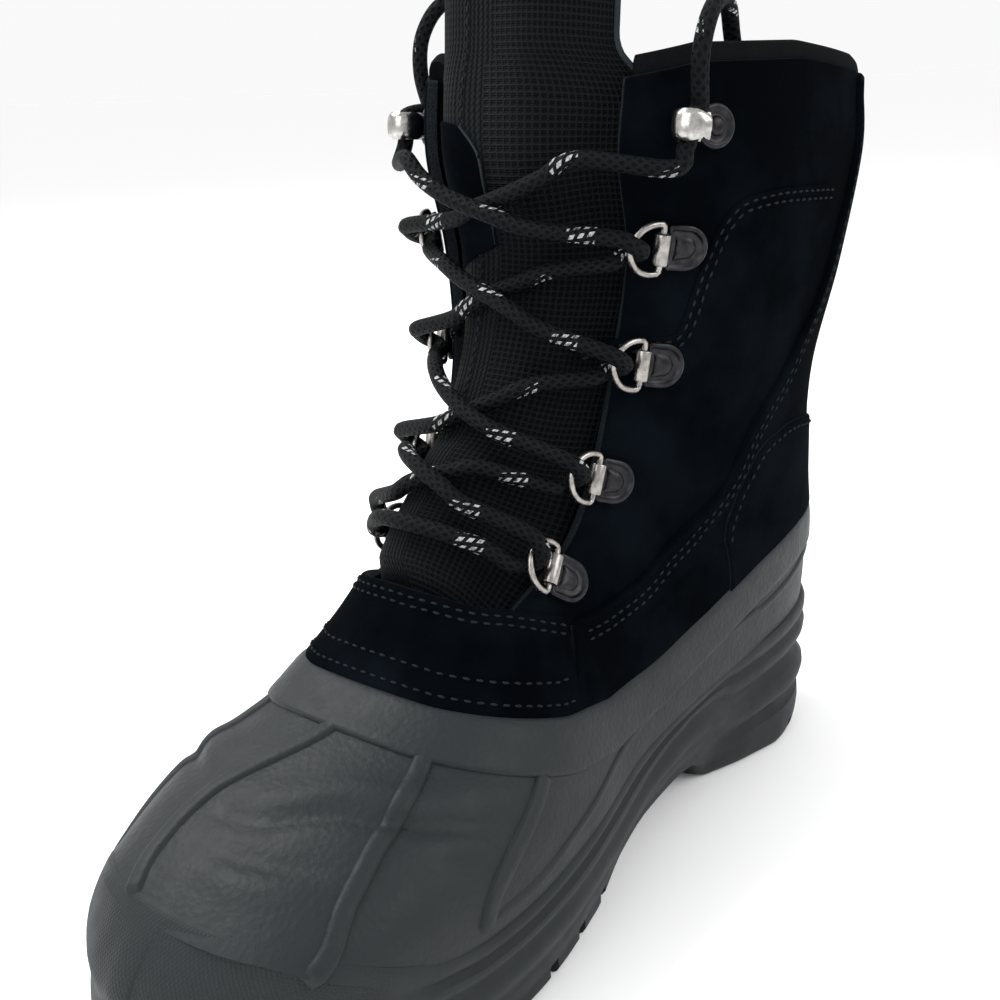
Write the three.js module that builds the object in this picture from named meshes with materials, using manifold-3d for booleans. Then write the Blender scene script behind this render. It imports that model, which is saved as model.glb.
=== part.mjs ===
// A tall lace-up snow boot for the left foot: a rubber shell and lugged sole carry an insulated suede shaft.
// Millimetres. While modelling, X runs from the back of the heel to the toe, Y to the wearer's left, Z up.
// The last group stands the boot on Z = 0 with its length and width centred on the origin.

import * as THREE from "three";
import { mergeVertices } from "three/addons/utils/BufferGeometryUtils.js";
import ManifoldModule from "manifold-3d";

const wasm = await ManifoldModule();
wasm.setup();

// ---- driving dimensions ----

const GAP = 0.33; // between pieces that touch
const UPPER_WALL = 5; // suede and insulation together
const SHELL_PROUD = 0.8; // how far the rubber stands out of the suede
const SHELL_WALL = 2.8;
const SOLE_PROUD = 3.4; // side wall of the sole, outside the body
const WALL_OVERHANG = 0.8; // how far that wall may stand out past the tread's outline
const WALL_UPRIGHT = 30; // the wall is widest at this height: it draws in below, and leans in above
const WALL_LEAN = 2.5; // how far in it is 25 mm higher
const TOE_LEAN = 11; // how far back the toe is 25 mm higher
const TONGUE_WALL = 6;
const TONGUE_PROUD = 3; // middle of the tongue, in front of the throat
const INSOLE_WALL = 5;
const LASTING_MARGIN = 11; // edge of the upper turned in under the foot
const LUG_DEPTH = 6;
const LACE_RADIUS = 2.4;
const RINGS_A_SIDE = 4;

const REACH = 400; // cutting solids reach this far past the boot

const RINGS_A_SECTION = 2; // mesh rings from one section of the body to the next
const BODY_SIDES = 22; // mesh corners around it

// ---- tables ----

// Turns a list of column names and rows into one object for each row.
function table(columns, rows) {
  return rows.map((row) => Object.fromEntries(columns.map((name, i) => [name, row[i]])));
}

// Sections of the body, each from its front or top point to its back or bottom point.
// left and right are half-widths, middle is the section's centre in Y, widest is where along the section
// it is widest, and roundFront and roundBack are the exponents of its two half-ovals.
const BODY = table(
  ["name", "frontX", "frontZ", "backX", "backZ", "left", "right", "middle", "widest", "roundFront", "roundBack"],
  [
    ["collar", 147, 246, -6, 226, 59, 56, 0, 0.5, 2.3, 2.4],
    ["cuff", 149, 219, -4, 211, 60.5, 56.5, 0, 0.5, 2.3, 2.4],
    ["shaft", 143, 192, 6, 175, 56.5, 54, 0, 0.52, 2.3, 2.4],
    ["ankle", 148, 165, 13, 139, 50, 47.5, 0, 0.55, 2.2, 2.4],
    ["instep", 160, 144, 7, 101, 46, 44.5, 0, 0.58, 2.1, 2.5],
    ["heel", 171, 136, 3, 65, 44.5, 42.5, 0, 0.62, 2.0, 2.7],
    ["seat", 179, 128.5, 19, 35, 44, 41, 0, 0.66, 2.0, 2.9],
    ["shank", 186, 121, 80, 32, 43, 40, 0, 0.7, 2.0, 3.0],
    ["waist", 192, 112, 127, 29, 45, 42.5, 0, 0.7, 2.0, 3.0],
    ["joint", 202, 99, 170, 26, 51, 48, 1.5, 0.7, 2.0, 3.0],
    ["ball", 219, 84, 207, 25.5, 53, 51, 3, 0.68, 2.1, 3.1],
    ["vamp", 245, 75, 241, 26.5, 51.5, 49, 3, 0.64, 2.2, 3.2],
    ["toebox", 270, 65.5, 272, 28.5, 44, 39, 3.5, 0.6, 2.3, 3.0],
    ["toecap", 287, 56, 288, 32, 34, 30, 3.5, 0.55, 2.3, 2.6],
    ["tip", 294, 48, 295.5, 37, 18.5, 16, 2.5, 0.5, 2.1, 2.2],
  ],
);

// Ground outline of the sole: half-widths to the left and to the right of the centre line.
const OUTLINE = table(
  ["x", "left", "right"],
  [
    [0, 9, 9],
    [4, 22, 21],
    [14, 33.5, 32],
    [32, 40, 38],
    [58, 41, 38.5],
    [90, 39.5, 36],
    [125, 42, 37.5],
    [160, 49.5, 44],
    [190, 55.5, 50],
    [218, 57, 53],
    [245, 54, 51],
    [267, 47.5, 44],
    [282, 38, 35],
    [291, 27, 23.5],
    [297, 15, 13],
    [299.5, 5, 5],
  ],
);

// How far the side wall draws in at the ground, along the sole.
const FLARE = table(
  ["x", "inset"],
  [
    [0, 1],
    [40, 1.5],
    [60, 6],
    [80, 12],
    [100, 13],
    [125, 13],
    [142, 11],
    [160, 7.5],
    [190, 6.5],
    [218, 6],
    [245, 5],
    [267, 3],
    [300, 2],
  ],
);

// Underside of the sole in side view: heel, arch, forefoot and toe spring.
const UNDERSIDE = table(
  ["x", "z"],
  [
    [-8, 6],
    [5, 0],
    [78, 0],
    [84, 9],
    [92, 13.5],
    [104, 14],
    [122, 10.5],
    [142, 5],
    [160, 0],
    [238, 0],
    [256, 1.5],
    [276, 4.5],
    [296, 9],
    [316, 15],
  ],
);

// Top edge of the sole's side wall in side view, rising into the toe bumper.
const SOLE_RIM = table(
  ["x", "z"],
  [
    [-12, 47],
    [40, 46.5],
    [80, 44],
    [120, 39],
    [165, 34.5],
    [210, 33],
    [236, 35],
    [254, 42],
    [270, 49.5],
    [288, 54.5],
    [318, 56],
  ],
);

// Top edge of the rubber shell in side view.
const SHELL_TOP = table(
  ["x", "z"],
  [
    [-16, 92],
    [20, 93],
    [44, 91],
    [73, 85],
    [102, 77],
    [130, 71],
    [158, 70],
    [180, 74],
    [198, 80],
    [212, 84.5],
    [222, 90],
    [228, 104],
  ],
);

// Half-width of the throat at each height, from the vamp's edge up past the collar.
const THROAT = table(
  ["z", "half"],
  [
    [102, 12],
    [104, 20],
    [112, 25],
    [140, 28.5],
    [165, 31],
    [195, 34],
    [230, 35.5],
    [300, 36],
  ],
);

// Top edge of the collar's padded lining in side view, and how far the suede stops below it.
const COLLAR_TOP = table(
  ["x", "z"],
  [
    [-14, 231],
    [8, 236],
    [40, 243],
    [80, 247],
    [120, 247],
    [150, 241],
    [170, 228],
  ],
);
const SUEDE_BELOW_COLLAR = 5;

// Eyelet stations from the vamp up: place counts body sections, and turn is the angle from the front in degrees.
const EYELETS = table(
  ["name", "place", "turn"],
  [
    ["ring_1", 6.75, 41.5],
    ["ring_2", 4.6, 41],
    ["ring_3", 3, 44.5],
    ["ring_4", 1.85, 43.5],
    ["hook", 0.72, 56],
  ],
);

// Free ends of the lace, from above each hook over the collar and down inside the shaft.
const LACE_ENDS = {
  left: [
    [126.5, 52.5, 230],
    [129.5, 54, 240],
    [129, 54.5, 247],
    [123.5, 53.5, 254],
    [114, 51, 257.5],
    [104, 47.5, 255.5],
    [97, 44.7, 249],
    [91.5, 43.3, 239],
    [88, 43, 226],
    [86.5, 43, 210],
    [86, 42.5, 194],
    [86, 41.5, 178],
  ],
  right: [
    [113, -53.5, 230],
    [113.5, -56.5, 241],
    [112.5, -56, 252],
    [108, -52, 261],
    [99, -47, 264],
    [91, -42, 258],
    [87, -40, 247],
    [85, -39.5, 234],
    [84, -39.5, 219],
    [84, -39.5, 204],
    [84, -39, 190],
    [84, -38, 178],
  ],
};

// ---- curves and sections ----

// Smooth curve through a column of a table, at a place counted in rows; it runs straight past both ends.
function columnAt(rows, column, place) {
  const last = rows.length - 1;
  if (place <= 0) return rows[0][column] + (rows[1][column] - rows[0][column]) * place;
  if (place >= last) return rows[last][column] + (rows[last][column] - rows[last - 1][column]) * (place - last);
  const i = Math.floor(place);
  const f = place - i;
  const [a, b, c, d] = [i - 1, i, i + 1, i + 2].map((k) => rows[Math.min(Math.max(k, 0), last)][column]);
  const slopeB = (c - a) / 2;
  const slopeC = (d - b) / 2;
  const f2 = f * f;
  const f3 = f2 * f;
  return (2 * f3 - 3 * f2 + 1) * b + (f3 - 2 * f2 + f) * slopeB + (3 * f2 - 2 * f3) * c + (f3 - f2) * slopeC;
}

// Value of one column at a given value of another that only rises.
function lookUp(rows, from, value, to) {
  const next = rows.findIndex((row) => row[from] >= value);
  if (next < 0) return rows.at(-1)[to];
  if (next === 0) return rows[0][to];
  const [a, b] = [rows[next - 1], rows[next]];
  return columnAt(rows, to, next - 1 + (value - a[from]) / (b[from] - a[from]));
}

// Half an oval: how far along and how far out a point at an angle lies, for an exponent.
const ovalPower = (value, exponent) => Math.abs(value) ** (2 / exponent);

// Point of the body before any offset. place counts sections; angle 0 is the front or top, positive is left.
function bareBodyPoint(place, angle) {
  const at = (column) => columnAt(BODY, column, place);
  const c = Math.cos(angle);
  const s = Math.sin(angle);
  const front = c >= 0;
  const exponent = at(front ? "roundFront" : "roundBack");
  const widest = at("widest");
  const along = front ? widest * (1 - ovalPower(c, exponent)) : widest + (1 - widest) * ovalPower(c, exponent);
  const half = at(s >= 0 ? "left" : "right") * Math.sign(s);
  return new THREE.Vector3(
    at("frontX") + (at("backX") - at("frontX")) * along,
    at("middle") + half * ovalPower(s, exponent),
    at("frontZ") + (at("backZ") - at("frontZ")) * along,
  );
}

// Outward normal of the body.
function bodyNormal(place, angle) {
  const step = 0.02;
  const alongBody = bareBodyPoint(place + step, angle).sub(bareBodyPoint(place - step, angle));
  const aroundBody = bareBodyPoint(place, angle + step).sub(bareBodyPoint(place, angle - step));
  return alongBody.cross(aroundBody).normalize();
}

// Point of the body, moved out along the normal.
function bodyPoint(place, angle, out = 0) {
  return bareBodyPoint(place, angle).addScaledVector(bodyNormal(place, angle), out);
}

// ---- meshes and solids ----

// Closed geometry from rings of points, each ring going round the same way, with a flat fan on each end.
function loft(rings) {
  const sides = rings[0].length;
  const points = rings.flat();
  const faces = [];
  for (let i = 0; i + 1 < rings.length; i++) {
    for (let j = 0; j < sides; j++) {
      const k = (j + 1) % sides;
      const [a, b, c, d] = [i * sides + j, i * sides + k, (i + 1) * sides + k, (i + 1) * sides + j];
      faces.push([a, b, c], [a, c, d]);
    }
  }
  const centre = (ring) => ring.reduce((sum, p) => sum.add(p), new THREE.Vector3()).divideScalar(sides);
  points.push(centre(rings[0]), centre(rings.at(-1)));
  const firstCentre = rings.length * sides;
  for (let j = 0; j < sides; j++) {
    const k = (j + 1) % sides;
    const end = (rings.length - 1) * sides;
    faces.push([firstCentre, k, j], [firstCentre + 1, end + j, end + k]);
  }
  return indexed(points, faces);
}

// Indexed geometry, turned inside out if its faces would point in.
function indexed(points, faces) {
  const volume = faces.reduce((sum, [a, b, c]) => {
    return sum + points[a].dot(new THREE.Vector3().crossVectors(points[b], points[c]));
  }, 0);
  const facing = volume < 0 ? faces.map(([a, b, c]) => [a, c, b]) : faces;
  const geometry = new THREE.BufferGeometry();
  geometry.setAttribute("position", new THREE.Float32BufferAttribute(points.flatMap((p) => [p.x, p.y, p.z]), 3));
  geometry.setIndex(facing.flat());
  return geometry;
}

// Manifold solid of a closed geometry.
function solid(geometry) {
  const bare = geometry.index ? geometry.clone() : geometry;
  bare.deleteAttribute("normal");
  bare.deleteAttribute("uv");
  const merged = mergeVertices(bare, 1e-4);
  return new wasm.Manifold(
    new wasm.Mesh({
      numProp: 3,
      vertProperties: new Float32Array(merged.attributes.position.array),
      triVerts: new Uint32Array(merged.index.array),
    }),
  );
}

// Geometry of a manifold solid.
function geometryOf(body) {
  const mesh = body.simplify(0.01).getMesh();
  const geometry = new THREE.BufferGeometry();
  geometry.setAttribute("position", new THREE.BufferAttribute(new Float32Array(mesh.vertProperties), 3));
  geometry.setIndex(new THREE.BufferAttribute(new Uint32Array(mesh.triVerts), 1));
  return geometry;
}

const largestPart = (body) => body.decompose().sort((a, b) => b.volume() - a.volume())[0];
const joined = (bodies) => bodies.reduce((sum, body) => sum.add(body));

// The body's skin at an offset, as a solid, from one section to another; a section below 0 lies above the
// collar. All skins share their mesh rings, so they nest without touching.
function bodySolid(out, from = 0, to = BODY.length - 1) {
  const loops = [];
  for (let i = from * RINGS_A_SECTION; i <= to * RINGS_A_SECTION; i++) {
    const place = i / RINGS_A_SECTION;
    const forward = place === BODY.length - 1 ? out : 0;
    const loop = [];
    for (let j = 0; j < BODY_SIDES; j++) {
      const point = bodyPoint(place, (2 * Math.PI * j) / BODY_SIDES, out);
      loop.push(point.setX(point.x + forward));
    }
    loops.push(loop);
  }
  return solid(loft(loops));
}

// Solid under or over a curve drawn in side view, across the whole width.
function sideSolid(rows, { over = false, lift = 0, steps = 1 } = {}) {
  const curve = [];
  for (let i = 0; i <= (rows.length - 1) * steps; i++) {
    const place = i / steps;
    curve.push(new THREE.Vector2(columnAt(rows, "x", place), columnAt(rows, "z", place) + lift));
  }
  const farZ = over ? REACH : -REACH;
  const outline = [
    new THREE.Vector2(-REACH, curve[0].y),
    ...curve,
    new THREE.Vector2(REACH, curve.at(-1).y),
    new THREE.Vector2(REACH, farZ),
    new THREE.Vector2(-REACH, farZ),
  ];
  const slab = new THREE.ExtrudeGeometry(new THREE.Shape(outline), { depth: 2 * REACH, bevelEnabled: false });
  slab.rotateX(Math.PI / 2);
  slab.translate(0, REACH, 0);
  return solid(slab);
}

// Closed outline of the sole, moved in by an inset that may vary along it, as points for a shape.
function soleOutline(insetAt, steps = 2) {
  const count = (OUTLINE.length - 1) * steps;
  const side = (name, sign) =>
    Array.from({ length: count + 1 }, (_, i) => {
      const place = i / steps;
      return new THREE.Vector2(columnAt(OUTLINE, "x", place), sign * columnAt(OUTLINE, name, place));
    });
  const loop = [...side("right", -1), ...side("left", 1).reverse()];
  return loop.map((point, i) => {
    const before = loop[(i + loop.length - 1) % loop.length];
    const after = loop[(i + 1) % loop.length];
    const along = after.clone().sub(before).normalize();
    const inset = insetAt(point.x);
    return new THREE.Vector2(point.x - along.y * inset, point.y + along.x * inset);
  });
}

// Upright solid on the sole's outline, from one height to another.
function outlineSolid(inset, low, high, steps) {
  const shape = new THREE.Shape(soleOutline(() => inset, steps));
  const column = new THREE.ExtrudeGeometry(shape, { depth: high - low, bevelEnabled: false });
  column.translate(0, 0, low);
  return solid(column);
}

// Block inside the sole's side wall, moved out by a distance: flaring up from the ground, then leaning in.
function wallBlock(out) {
  const rings = [-20, 0, 12, WALL_UPRIGHT, 42, 51, 62].map((z) => {
    const rise = Math.max(z - WALL_UPRIGHT, 0) / 25;
    const drop = Math.min(Math.max(1 - z / WALL_UPRIGHT, 0), 1) ** 1.2;
    const insetAt = (x) => WALL_LEAN * rise + lookUp(FLARE, "x", x, "inset") * drop - out;
    return soleOutline(insetAt).map(({ x, y }) => {
      const toToe = Math.max((x - 262) / (OUTLINE.at(-1).x - 262), 0);
      return new THREE.Vector3(x - TOE_LEAN * rise ** 3 * Math.min(toToe ** 2, 1.1), y, z);
    });
  });
  return solid(loft(rings));
}

// Round tube along points, with flat ends.
function tube(points, radius, steps) {
  const path = new THREE.CatmullRomCurve3(points, false, "centripetal");
  const sides = 6;
  const section = new THREE.Shape(
    Array.from({ length: sides }, (_, i) => {
      const angle = (2 * Math.PI * i) / sides;
      return new THREE.Vector2(radius * Math.cos(angle), radius * Math.sin(angle));
    }),
  );
  return new THREE.ExtrudeGeometry(section, { extrudePath: path, steps, bevelEnabled: false });
}

// ---- finishes ----

const finish = (color, roughness, metalness = 0) => new THREE.MeshStandardMaterial({ color, roughness, metalness });
const RUBBER = finish(0x43474a, 0.7);
const SUEDE = finish(0x15181c, 0.95);
const TONGUE_CLOTH = finish(0x1d2324, 0.95);
const FELT = finish(0x5a5a58, 1);
const NICKEL = finish(0xa8a8a6, 0.3, 1);
const LACE = finish(0x24272a, 0.9);
const AGLET = finish(0x101112, 0.4);

// The boot, filled by the sections below.
const boot = new THREE.Group();

function add(name, geometry, material) {
  const mesh = new THREE.Mesh(geometry, material);
  mesh.name = name;
  boot.add(mesh);
  return mesh;
}

// ---- sole, shell, upper and insole ----

const FOOTBED_RISE = UPPER_WALL; // the sole's raised middle fills the openings above it up to here
const OPENING_END = 272; // the turned-in edge is deeper under the toes, from here on
const OPENING_TOP = 41;

// Upright solid under the foot, inside the turned-in edges of the shell and upper.
function underfoot(inset, top) {
  const front = new THREE.BoxGeometry(400, 200, 200);
  front.translate(OPENING_END - inset + 200, 0, 0);
  return outlineSolid(inset, 8, top, 1).subtract(solid(front));
}

// Lowest line of the body in side view, from the heel seat to the toe.
const BODY_BOTTOM = BODY.slice(6, 14).map((row) => ({ x: row.backX, z: row.backZ }));
BODY_BOTTOM.unshift({ x: -20, z: BODY_BOTTOM[0].z });
BODY_BOTTOM.push({ x: 330, z: BODY_BOTTOM.at(-1).z + 6 });

// Channels between the lugs: straight cuts across the tread, turned a little each way from the middle.
function lugChannels() {
  const cuts = [];
  const rows = table(
    ["x", "width", "turn"],
    [
      [29, 5, 0],
      [168, 6, 0.22],
      [186, 6, 0.22],
      [204, 6, 0.2],
      [222, 6, 0.16],
      [240, 6, 0.1],
      [258, 6, 0],
      [275, 5.5, -0.12],
      [291, 5, -0.2],
    ],
  );
  for (const { x, width, turn } of rows) {
    for (const side of [-1, 1]) {
      const cut = new THREE.BoxGeometry(width, 80, 2 * LUG_DEPTH);
      cut.translate(0, side * 49, 0);
      cut.rotateZ(side * turn);
      cut.translate(x, 0, lookUp(UNDERSIDE, "x", x, "z"));
      cuts.push(solid(cut));
    }
  }
  return joined(cuts);
}

function makeSole() {
  const wall = bodySolid(SHELL_PROUD + SOLE_PROUD, 4).intersect(wallBlock(WALL_OVERHANG));
  const tread = wallBlock(0);
  const plug = underfoot(LASTING_MARGIN + GAP, 60).intersect(sideSolid(BODY_BOTTOM, { lift: FOOTBED_RISE }));
  const cup = wall
    .add(tread)
    .intersect(sideSolid(SOLE_RIM, { steps: 2 }))
    .subtract(bodySolid(SHELL_PROUD + GAP, 3.5));
  const sole = cup
    .add(plug)
    .subtract(sideSolid(UNDERSIDE))
    .subtract(lugChannels());
  return largestPart(sole);
}

function makeShell() {
  return bodySolid(SHELL_PROUD)
    .subtract(bodySolid(SHELL_PROUD - SHELL_WALL, 1, 13.5))
    .intersect(sideSolid(SHELL_TOP, { steps: 2, lift: -GAP }))
    .subtract(underfoot(LASTING_MARGIN, OPENING_TOP));
}

function makeUpper() {
  const suede = bodySolid(0, -1, 13.5)
    .intersect(sideSolid(SHELL_TOP, { steps: 2, over: true }))
    .intersect(sideSolid(COLLAR_TOP, { steps: 2, lift: -SUEDE_BELOW_COLLAR }));
  const lining = bodySolid(SHELL_PROUD - SHELL_WALL - GAP, -1, 13).intersect(
    sideSolid(COLLAR_TOP, { steps: 2 }),
  );
  const throatLeft = THROAT.map((row) => new THREE.Vector2(row.half, row.z));
  const throatRight = THROAT.map((row) => new THREE.Vector2(-row.half, row.z)).reverse();
  const throat = new THREE.ExtrudeGeometry(new THREE.Shape([...throatLeft, ...throatRight]), {
    depth: 160,
    bevelEnabled: false,
  });
  throat.applyMatrix4(new THREE.Matrix4().set(0, 0, 1, 80, 1, 0, 0, 0, 0, 1, 0, 0, 0, 0, 0, 1));
  return suede
    .add(lining)
    .subtract(bodySolid(-UPPER_WALL, -1.5, 12.5))
    .subtract(solid(throat))
    .subtract(underfoot(LASTING_MARGIN, OPENING_TOP + UPPER_WALL));
}

function makeInsole() {
  return bodySolid(-UPPER_WALL - GAP, 5, 12).intersect(
    sideSolid(BODY_BOTTOM, { lift: FOOTBED_RISE + GAP + INSOLE_WALL }),
  ).subtract(sideSolid(BODY_BOTTOM, { lift: FOOTBED_RISE + GAP }));
}

add("outsole", geometryOf(makeSole()), RUBBER);
add("rubber_shell", geometryOf(makeShell()), RUBBER);
add("upper", geometryOf(makeUpper()), SUEDE);
add("insole", geometryOf(makeInsole()), FELT);

// ---- tongue ----

const TONGUE_TOP = -1.25; // place of its top edge, above the collar
const TONGUE_TOE = 10; // place of its sewn end, under the vamp
const TONGUE_LAP = THREE.MathUtils.degToRad(11); // how far its gusset reaches under the quarters
const TONGUE_RINGS = 20;
const TONGUE_COLUMNS = 9;

// Angle from the front at which the throat's edge crosses a section.
function throatAngle(place, side) {
  const widest = columnAt(BODY, side > 0 ? "left" : "right", place);
  const power = columnAt(BODY, "roundFront", place) / 2;
  let angle = 0.5;
  for (let turn = 0; turn < 4; turn++) {
    const half = lookUp(THROAT, "z", bareBodyPoint(place, angle * side).z, "half");
    angle = Math.asin((half / widest) ** power);
  }
  return angle;
}

// How far out the tongue's face stands: proud in the middle, under the quarters and the vamp at its edges.
function tongueOut(place, angle) {
  const edge = throatAngle(Math.min(place, 8.3), Math.sign(angle) || 1);
  const under = -UPPER_WALL - 3 * GAP;
  const across = THREE.MathUtils.smoothstep(edge - 0.06 - Math.abs(angle), 0, edge * 0.7);
  const along = THREE.MathUtils.smoothstep(8 - place, 0, 0.9);
  return under + (TONGUE_PROUD - under) * across * along;
}

function makeTongue() {
  const loops = [];
  for (let i = 0; i <= TONGUE_RINGS; i++) {
    const place = TONGUE_TOP + ((TONGUE_TOE - TONGUE_TOP) * i) / TONGUE_RINGS;
    const edge = throatAngle(Math.min(place, 8.3), 1) + TONGUE_LAP;
    const rounding = THREE.MathUtils.smoothstep(i, -1.5, 2);
    const face = [];
    const back = [];
    for (let j = 0; j < TONGUE_COLUMNS; j++) {
      const angle = edge * rounding * ((2 * j) / (TONGUE_COLUMNS - 1) - 1);
      const out = tongueOut(place, angle);
      face.push(bodyPoint(place, angle, out));
      back.push(bodyPoint(place, angle, out - TONGUE_WALL));
    }
    loops.push([...face, ...back.reverse()]);
  }
  return loft(loops);
}

add("tongue", geometryOf(solid(makeTongue())), TONGUE_CLOTH);

// ---- eyelets: local X runs to the throat, Z out of the suede ----

const RING = { wire: 0.95, width: 14, depth: 10, lift: 2.1, barX: 1.6, tilt: 0.3 };
const PLATE = { length: 12, width: 13, wall: 1.4, barrel: 2.2 };
const HOOK = { disc: 6, discWall: 1.6, rivet: 3.6, rivetHeight: 2.9, width: 8, wall: 1.5 };

// Matrix that stands a fitting on the suede at a station.
function stationMatrix({ place, turn }, side, out) {
  const angle = side * THREE.MathUtils.degToRad(turn);
  const step = 0.03 * side;
  const normal = bodyNormal(place, angle);
  const toThroat = bareBodyPoint(place, angle - step).sub(bareBodyPoint(place, angle + step));
  toThroat.addScaledVector(normal, -toThroat.dot(normal)).normalize();
  const up = new THREE.Vector3().crossVectors(normal, toThroat);
  return new THREE.Matrix4().makeBasis(toThroat, up, normal).setPosition(bodyPoint(place, angle, out));
}

// D-shaped plate, straight along the throat side, with a barrel that holds the ring's bar.
function ringPlate() {
  const shape = new THREE.Shape();
  const r = PLATE.width / 2;
  shape.moveTo(0, -r);
  shape.lineTo(0, r);
  shape.lineTo(r - PLATE.length, r);
  shape.absarc(r - PLATE.length, 0, r, Math.PI / 2, 1.5 * Math.PI, false);
  const plate = new THREE.ExtrudeGeometry(shape, { depth: PLATE.wall, curveSegments: 6, bevelEnabled: false });
  const barrel = new THREE.CylinderGeometry(PLATE.barrel, PLATE.barrel, 9, 8);
  barrel.translate(RING.barX, 0, RING.lift);
  const hole = new THREE.CylinderGeometry(RING.wire + 2 * GAP, RING.wire + 2 * GAP, 12, 6);
  hole.translate(RING.barX, 0, RING.lift);
  return solid(plate).add(solid(barrel)).subtract(solid(hole));
}

// Closed wire along a flat loop of points, mitred at each point.
function wireLoop(loop, radius, sides) {
  const count = loop.length;
  const points = [];
  for (let i = 0; i < count; i++) {
    const before = loop[i].clone().sub(loop[(i + count - 1) % count]).normalize();
    const after = loop[(i + 1) % count].clone().sub(loop[i]).normalize();
    const out = new THREE.Vector2(before.y + after.y, -before.x - after.x).normalize();
    const mitre = radius / Math.sqrt((1 + before.dot(after)) / 2);
    for (let j = 0; j < sides; j++) {
      const angle = (2 * Math.PI * j) / sides;
      const across = mitre * Math.cos(angle);
      points.push(new THREE.Vector3(loop[i].x + out.x * across, loop[i].y + out.y * across, radius * Math.sin(angle)));
    }
  }
  const faces = [];
  for (let i = 0; i < count; i++) {
    for (let j = 0; j < sides; j++) {
      const [p, q] = [i * sides, ((i + 1) % count) * sides];
      const k = (j + 1) % sides;
      faces.push([p + j, q + j, q + k], [p + j, q + k, p + k]);
    }
  }
  return indexed(points, faces);
}

// Wire ring: a straight bar through the barrel and a half-round bow towards the throat.
function wireRing() {
  const r = RING.width / 2;
  const bowSteps = 7;
  const loop = [new THREE.Vector2(0, r), new THREE.Vector2(0, -r)];
  for (let i = 0; i <= bowSteps; i++) {
    const angle = (Math.PI * i) / bowSteps - Math.PI / 2;
    loop.push(new THREE.Vector2(2.5 + (RING.depth - 2.5) * Math.cos(angle), r * Math.sin(angle)));
  }
  const ring = wireLoop(loop, RING.wire, 5);
  ring.rotateY(-RING.tilt);
  ring.translate(RING.barX, 0, RING.lift);
  return ring;
}

// Strip of even thickness along a polyline, as a shape.
function strip(points, thickness) {
  const offset = (sign) =>
    points.map(([x, z], i) => {
      const [x0, z0] = points[Math.max(i - 1, 0)];
      const [x1, z1] = points[Math.min(i + 1, points.length - 1)];
      const length = Math.hypot(x1 - x0, z1 - z0);
      const shift = (sign * thickness) / 2 / length;
      return new THREE.Vector2(x - (z1 - z0) * shift, z + (x1 - x0) * shift);
    });
  return new THREE.Shape([...offset(1), ...offset(-1).reverse()]);
}

// Speed hook: a riveted disc and a strip that curls out and back over the lace.
function laceHook() {
  const curl = [[2, 0.8], [9.5, 0.8], [12.8, 2.2], [14.2, 5], [13, 7.9], [10.4, 9.3], [7.6, 9.5]];
  const hook = new THREE.ExtrudeGeometry(strip(curl, HOOK.wall), { depth: HOOK.width, bevelEnabled: false });
  hook.rotateX(Math.PI / 2);
  hook.translate(0, HOOK.width / 2, 0);
  const disc = new THREE.CylinderGeometry(HOOK.disc, HOOK.disc, HOOK.discWall, 12);
  disc.rotateX(Math.PI / 2);
  disc.translate(0, 0, HOOK.discWall / 2);
  const rivet = new THREE.CylinderGeometry(HOOK.rivet * 0.7, HOOK.rivet, HOOK.rivetHeight, 8);
  rivet.rotateX(Math.PI / 2);
  rivet.translate(0, 0, HOOK.rivetHeight / 2);
  return joined([solid(hook), solid(disc), solid(rivet)]);
}

const FITTING_OUT = 0.9; // clears the curve of the suede under a flat plate
for (const [sideName, side] of [["left", 1], ["right", -1]]) {
  for (const station of EYELETS) {
    const matrix = stationMatrix(station, side, FITTING_OUT);
    const label = `${station.name}_${sideName}`;
    if (station.name === "hook") {
      add(`lace_${label}`, geometryOf(laceHook()).applyMatrix4(matrix), NICKEL);
    } else {
      add(`plate_${label}`, geometryOf(ringPlate()).applyMatrix4(matrix), NICKEL);
      add(label, geometryOf(solid(wireRing())).applyMatrix4(matrix), NICKEL);
    }
  }
}

// ---- lace ----

const STRAND_STEPS = 6;
const STRAND_SHORT = THREE.MathUtils.degToRad(17); // the strands stop this far short of the ring bars
const STRAND_LOW = TONGUE_PROUD + LACE_RADIUS + 1;
const STRAND_HIGH = STRAND_LOW + 2 * LACE_RADIUS - 0.6;
const STRAND_END = 4.6;

// One strand over the tongue between two stations, at a height over its middle.
function strand(from, fromSide, to, toSide, middleOut, dip = 0) {
  const angleOf = (station, side) => side * (THREE.MathUtils.degToRad(station.turn) - STRAND_SHORT);
  const points = [];
  for (let i = 0; i <= STRAND_STEPS; i++) {
    const f = i / STRAND_STEPS;
    const arch = Math.sin(Math.PI * f);
    const place = from.place + (to.place - from.place) * f + dip * arch;
    const angle = angleOf(from, fromSide) + (angleOf(to, toSide) - angleOf(from, fromSide)) * f;
    points.push(bodyPoint(place, angle, STRAND_END + (middleOut - STRAND_END) * arch ** 0.7));
  }
  return solid(tube(points, LACE_RADIUS, STRAND_STEPS));
}

const strands = [strand(EYELETS[0], 1, EYELETS[0], -1, STRAND_LOW, 0.35)];
for (let i = 0; i < RINGS_A_SIDE; i++) {
  const [low, high] = [EYELETS[i], EYELETS[i + 1]];
  strands.push(strand(low, 1, high, -1, STRAND_HIGH), strand(low, -1, high, 1, STRAND_LOW));
}
add("lace_crossings", geometryOf(joined(strands)), LACE);

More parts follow.
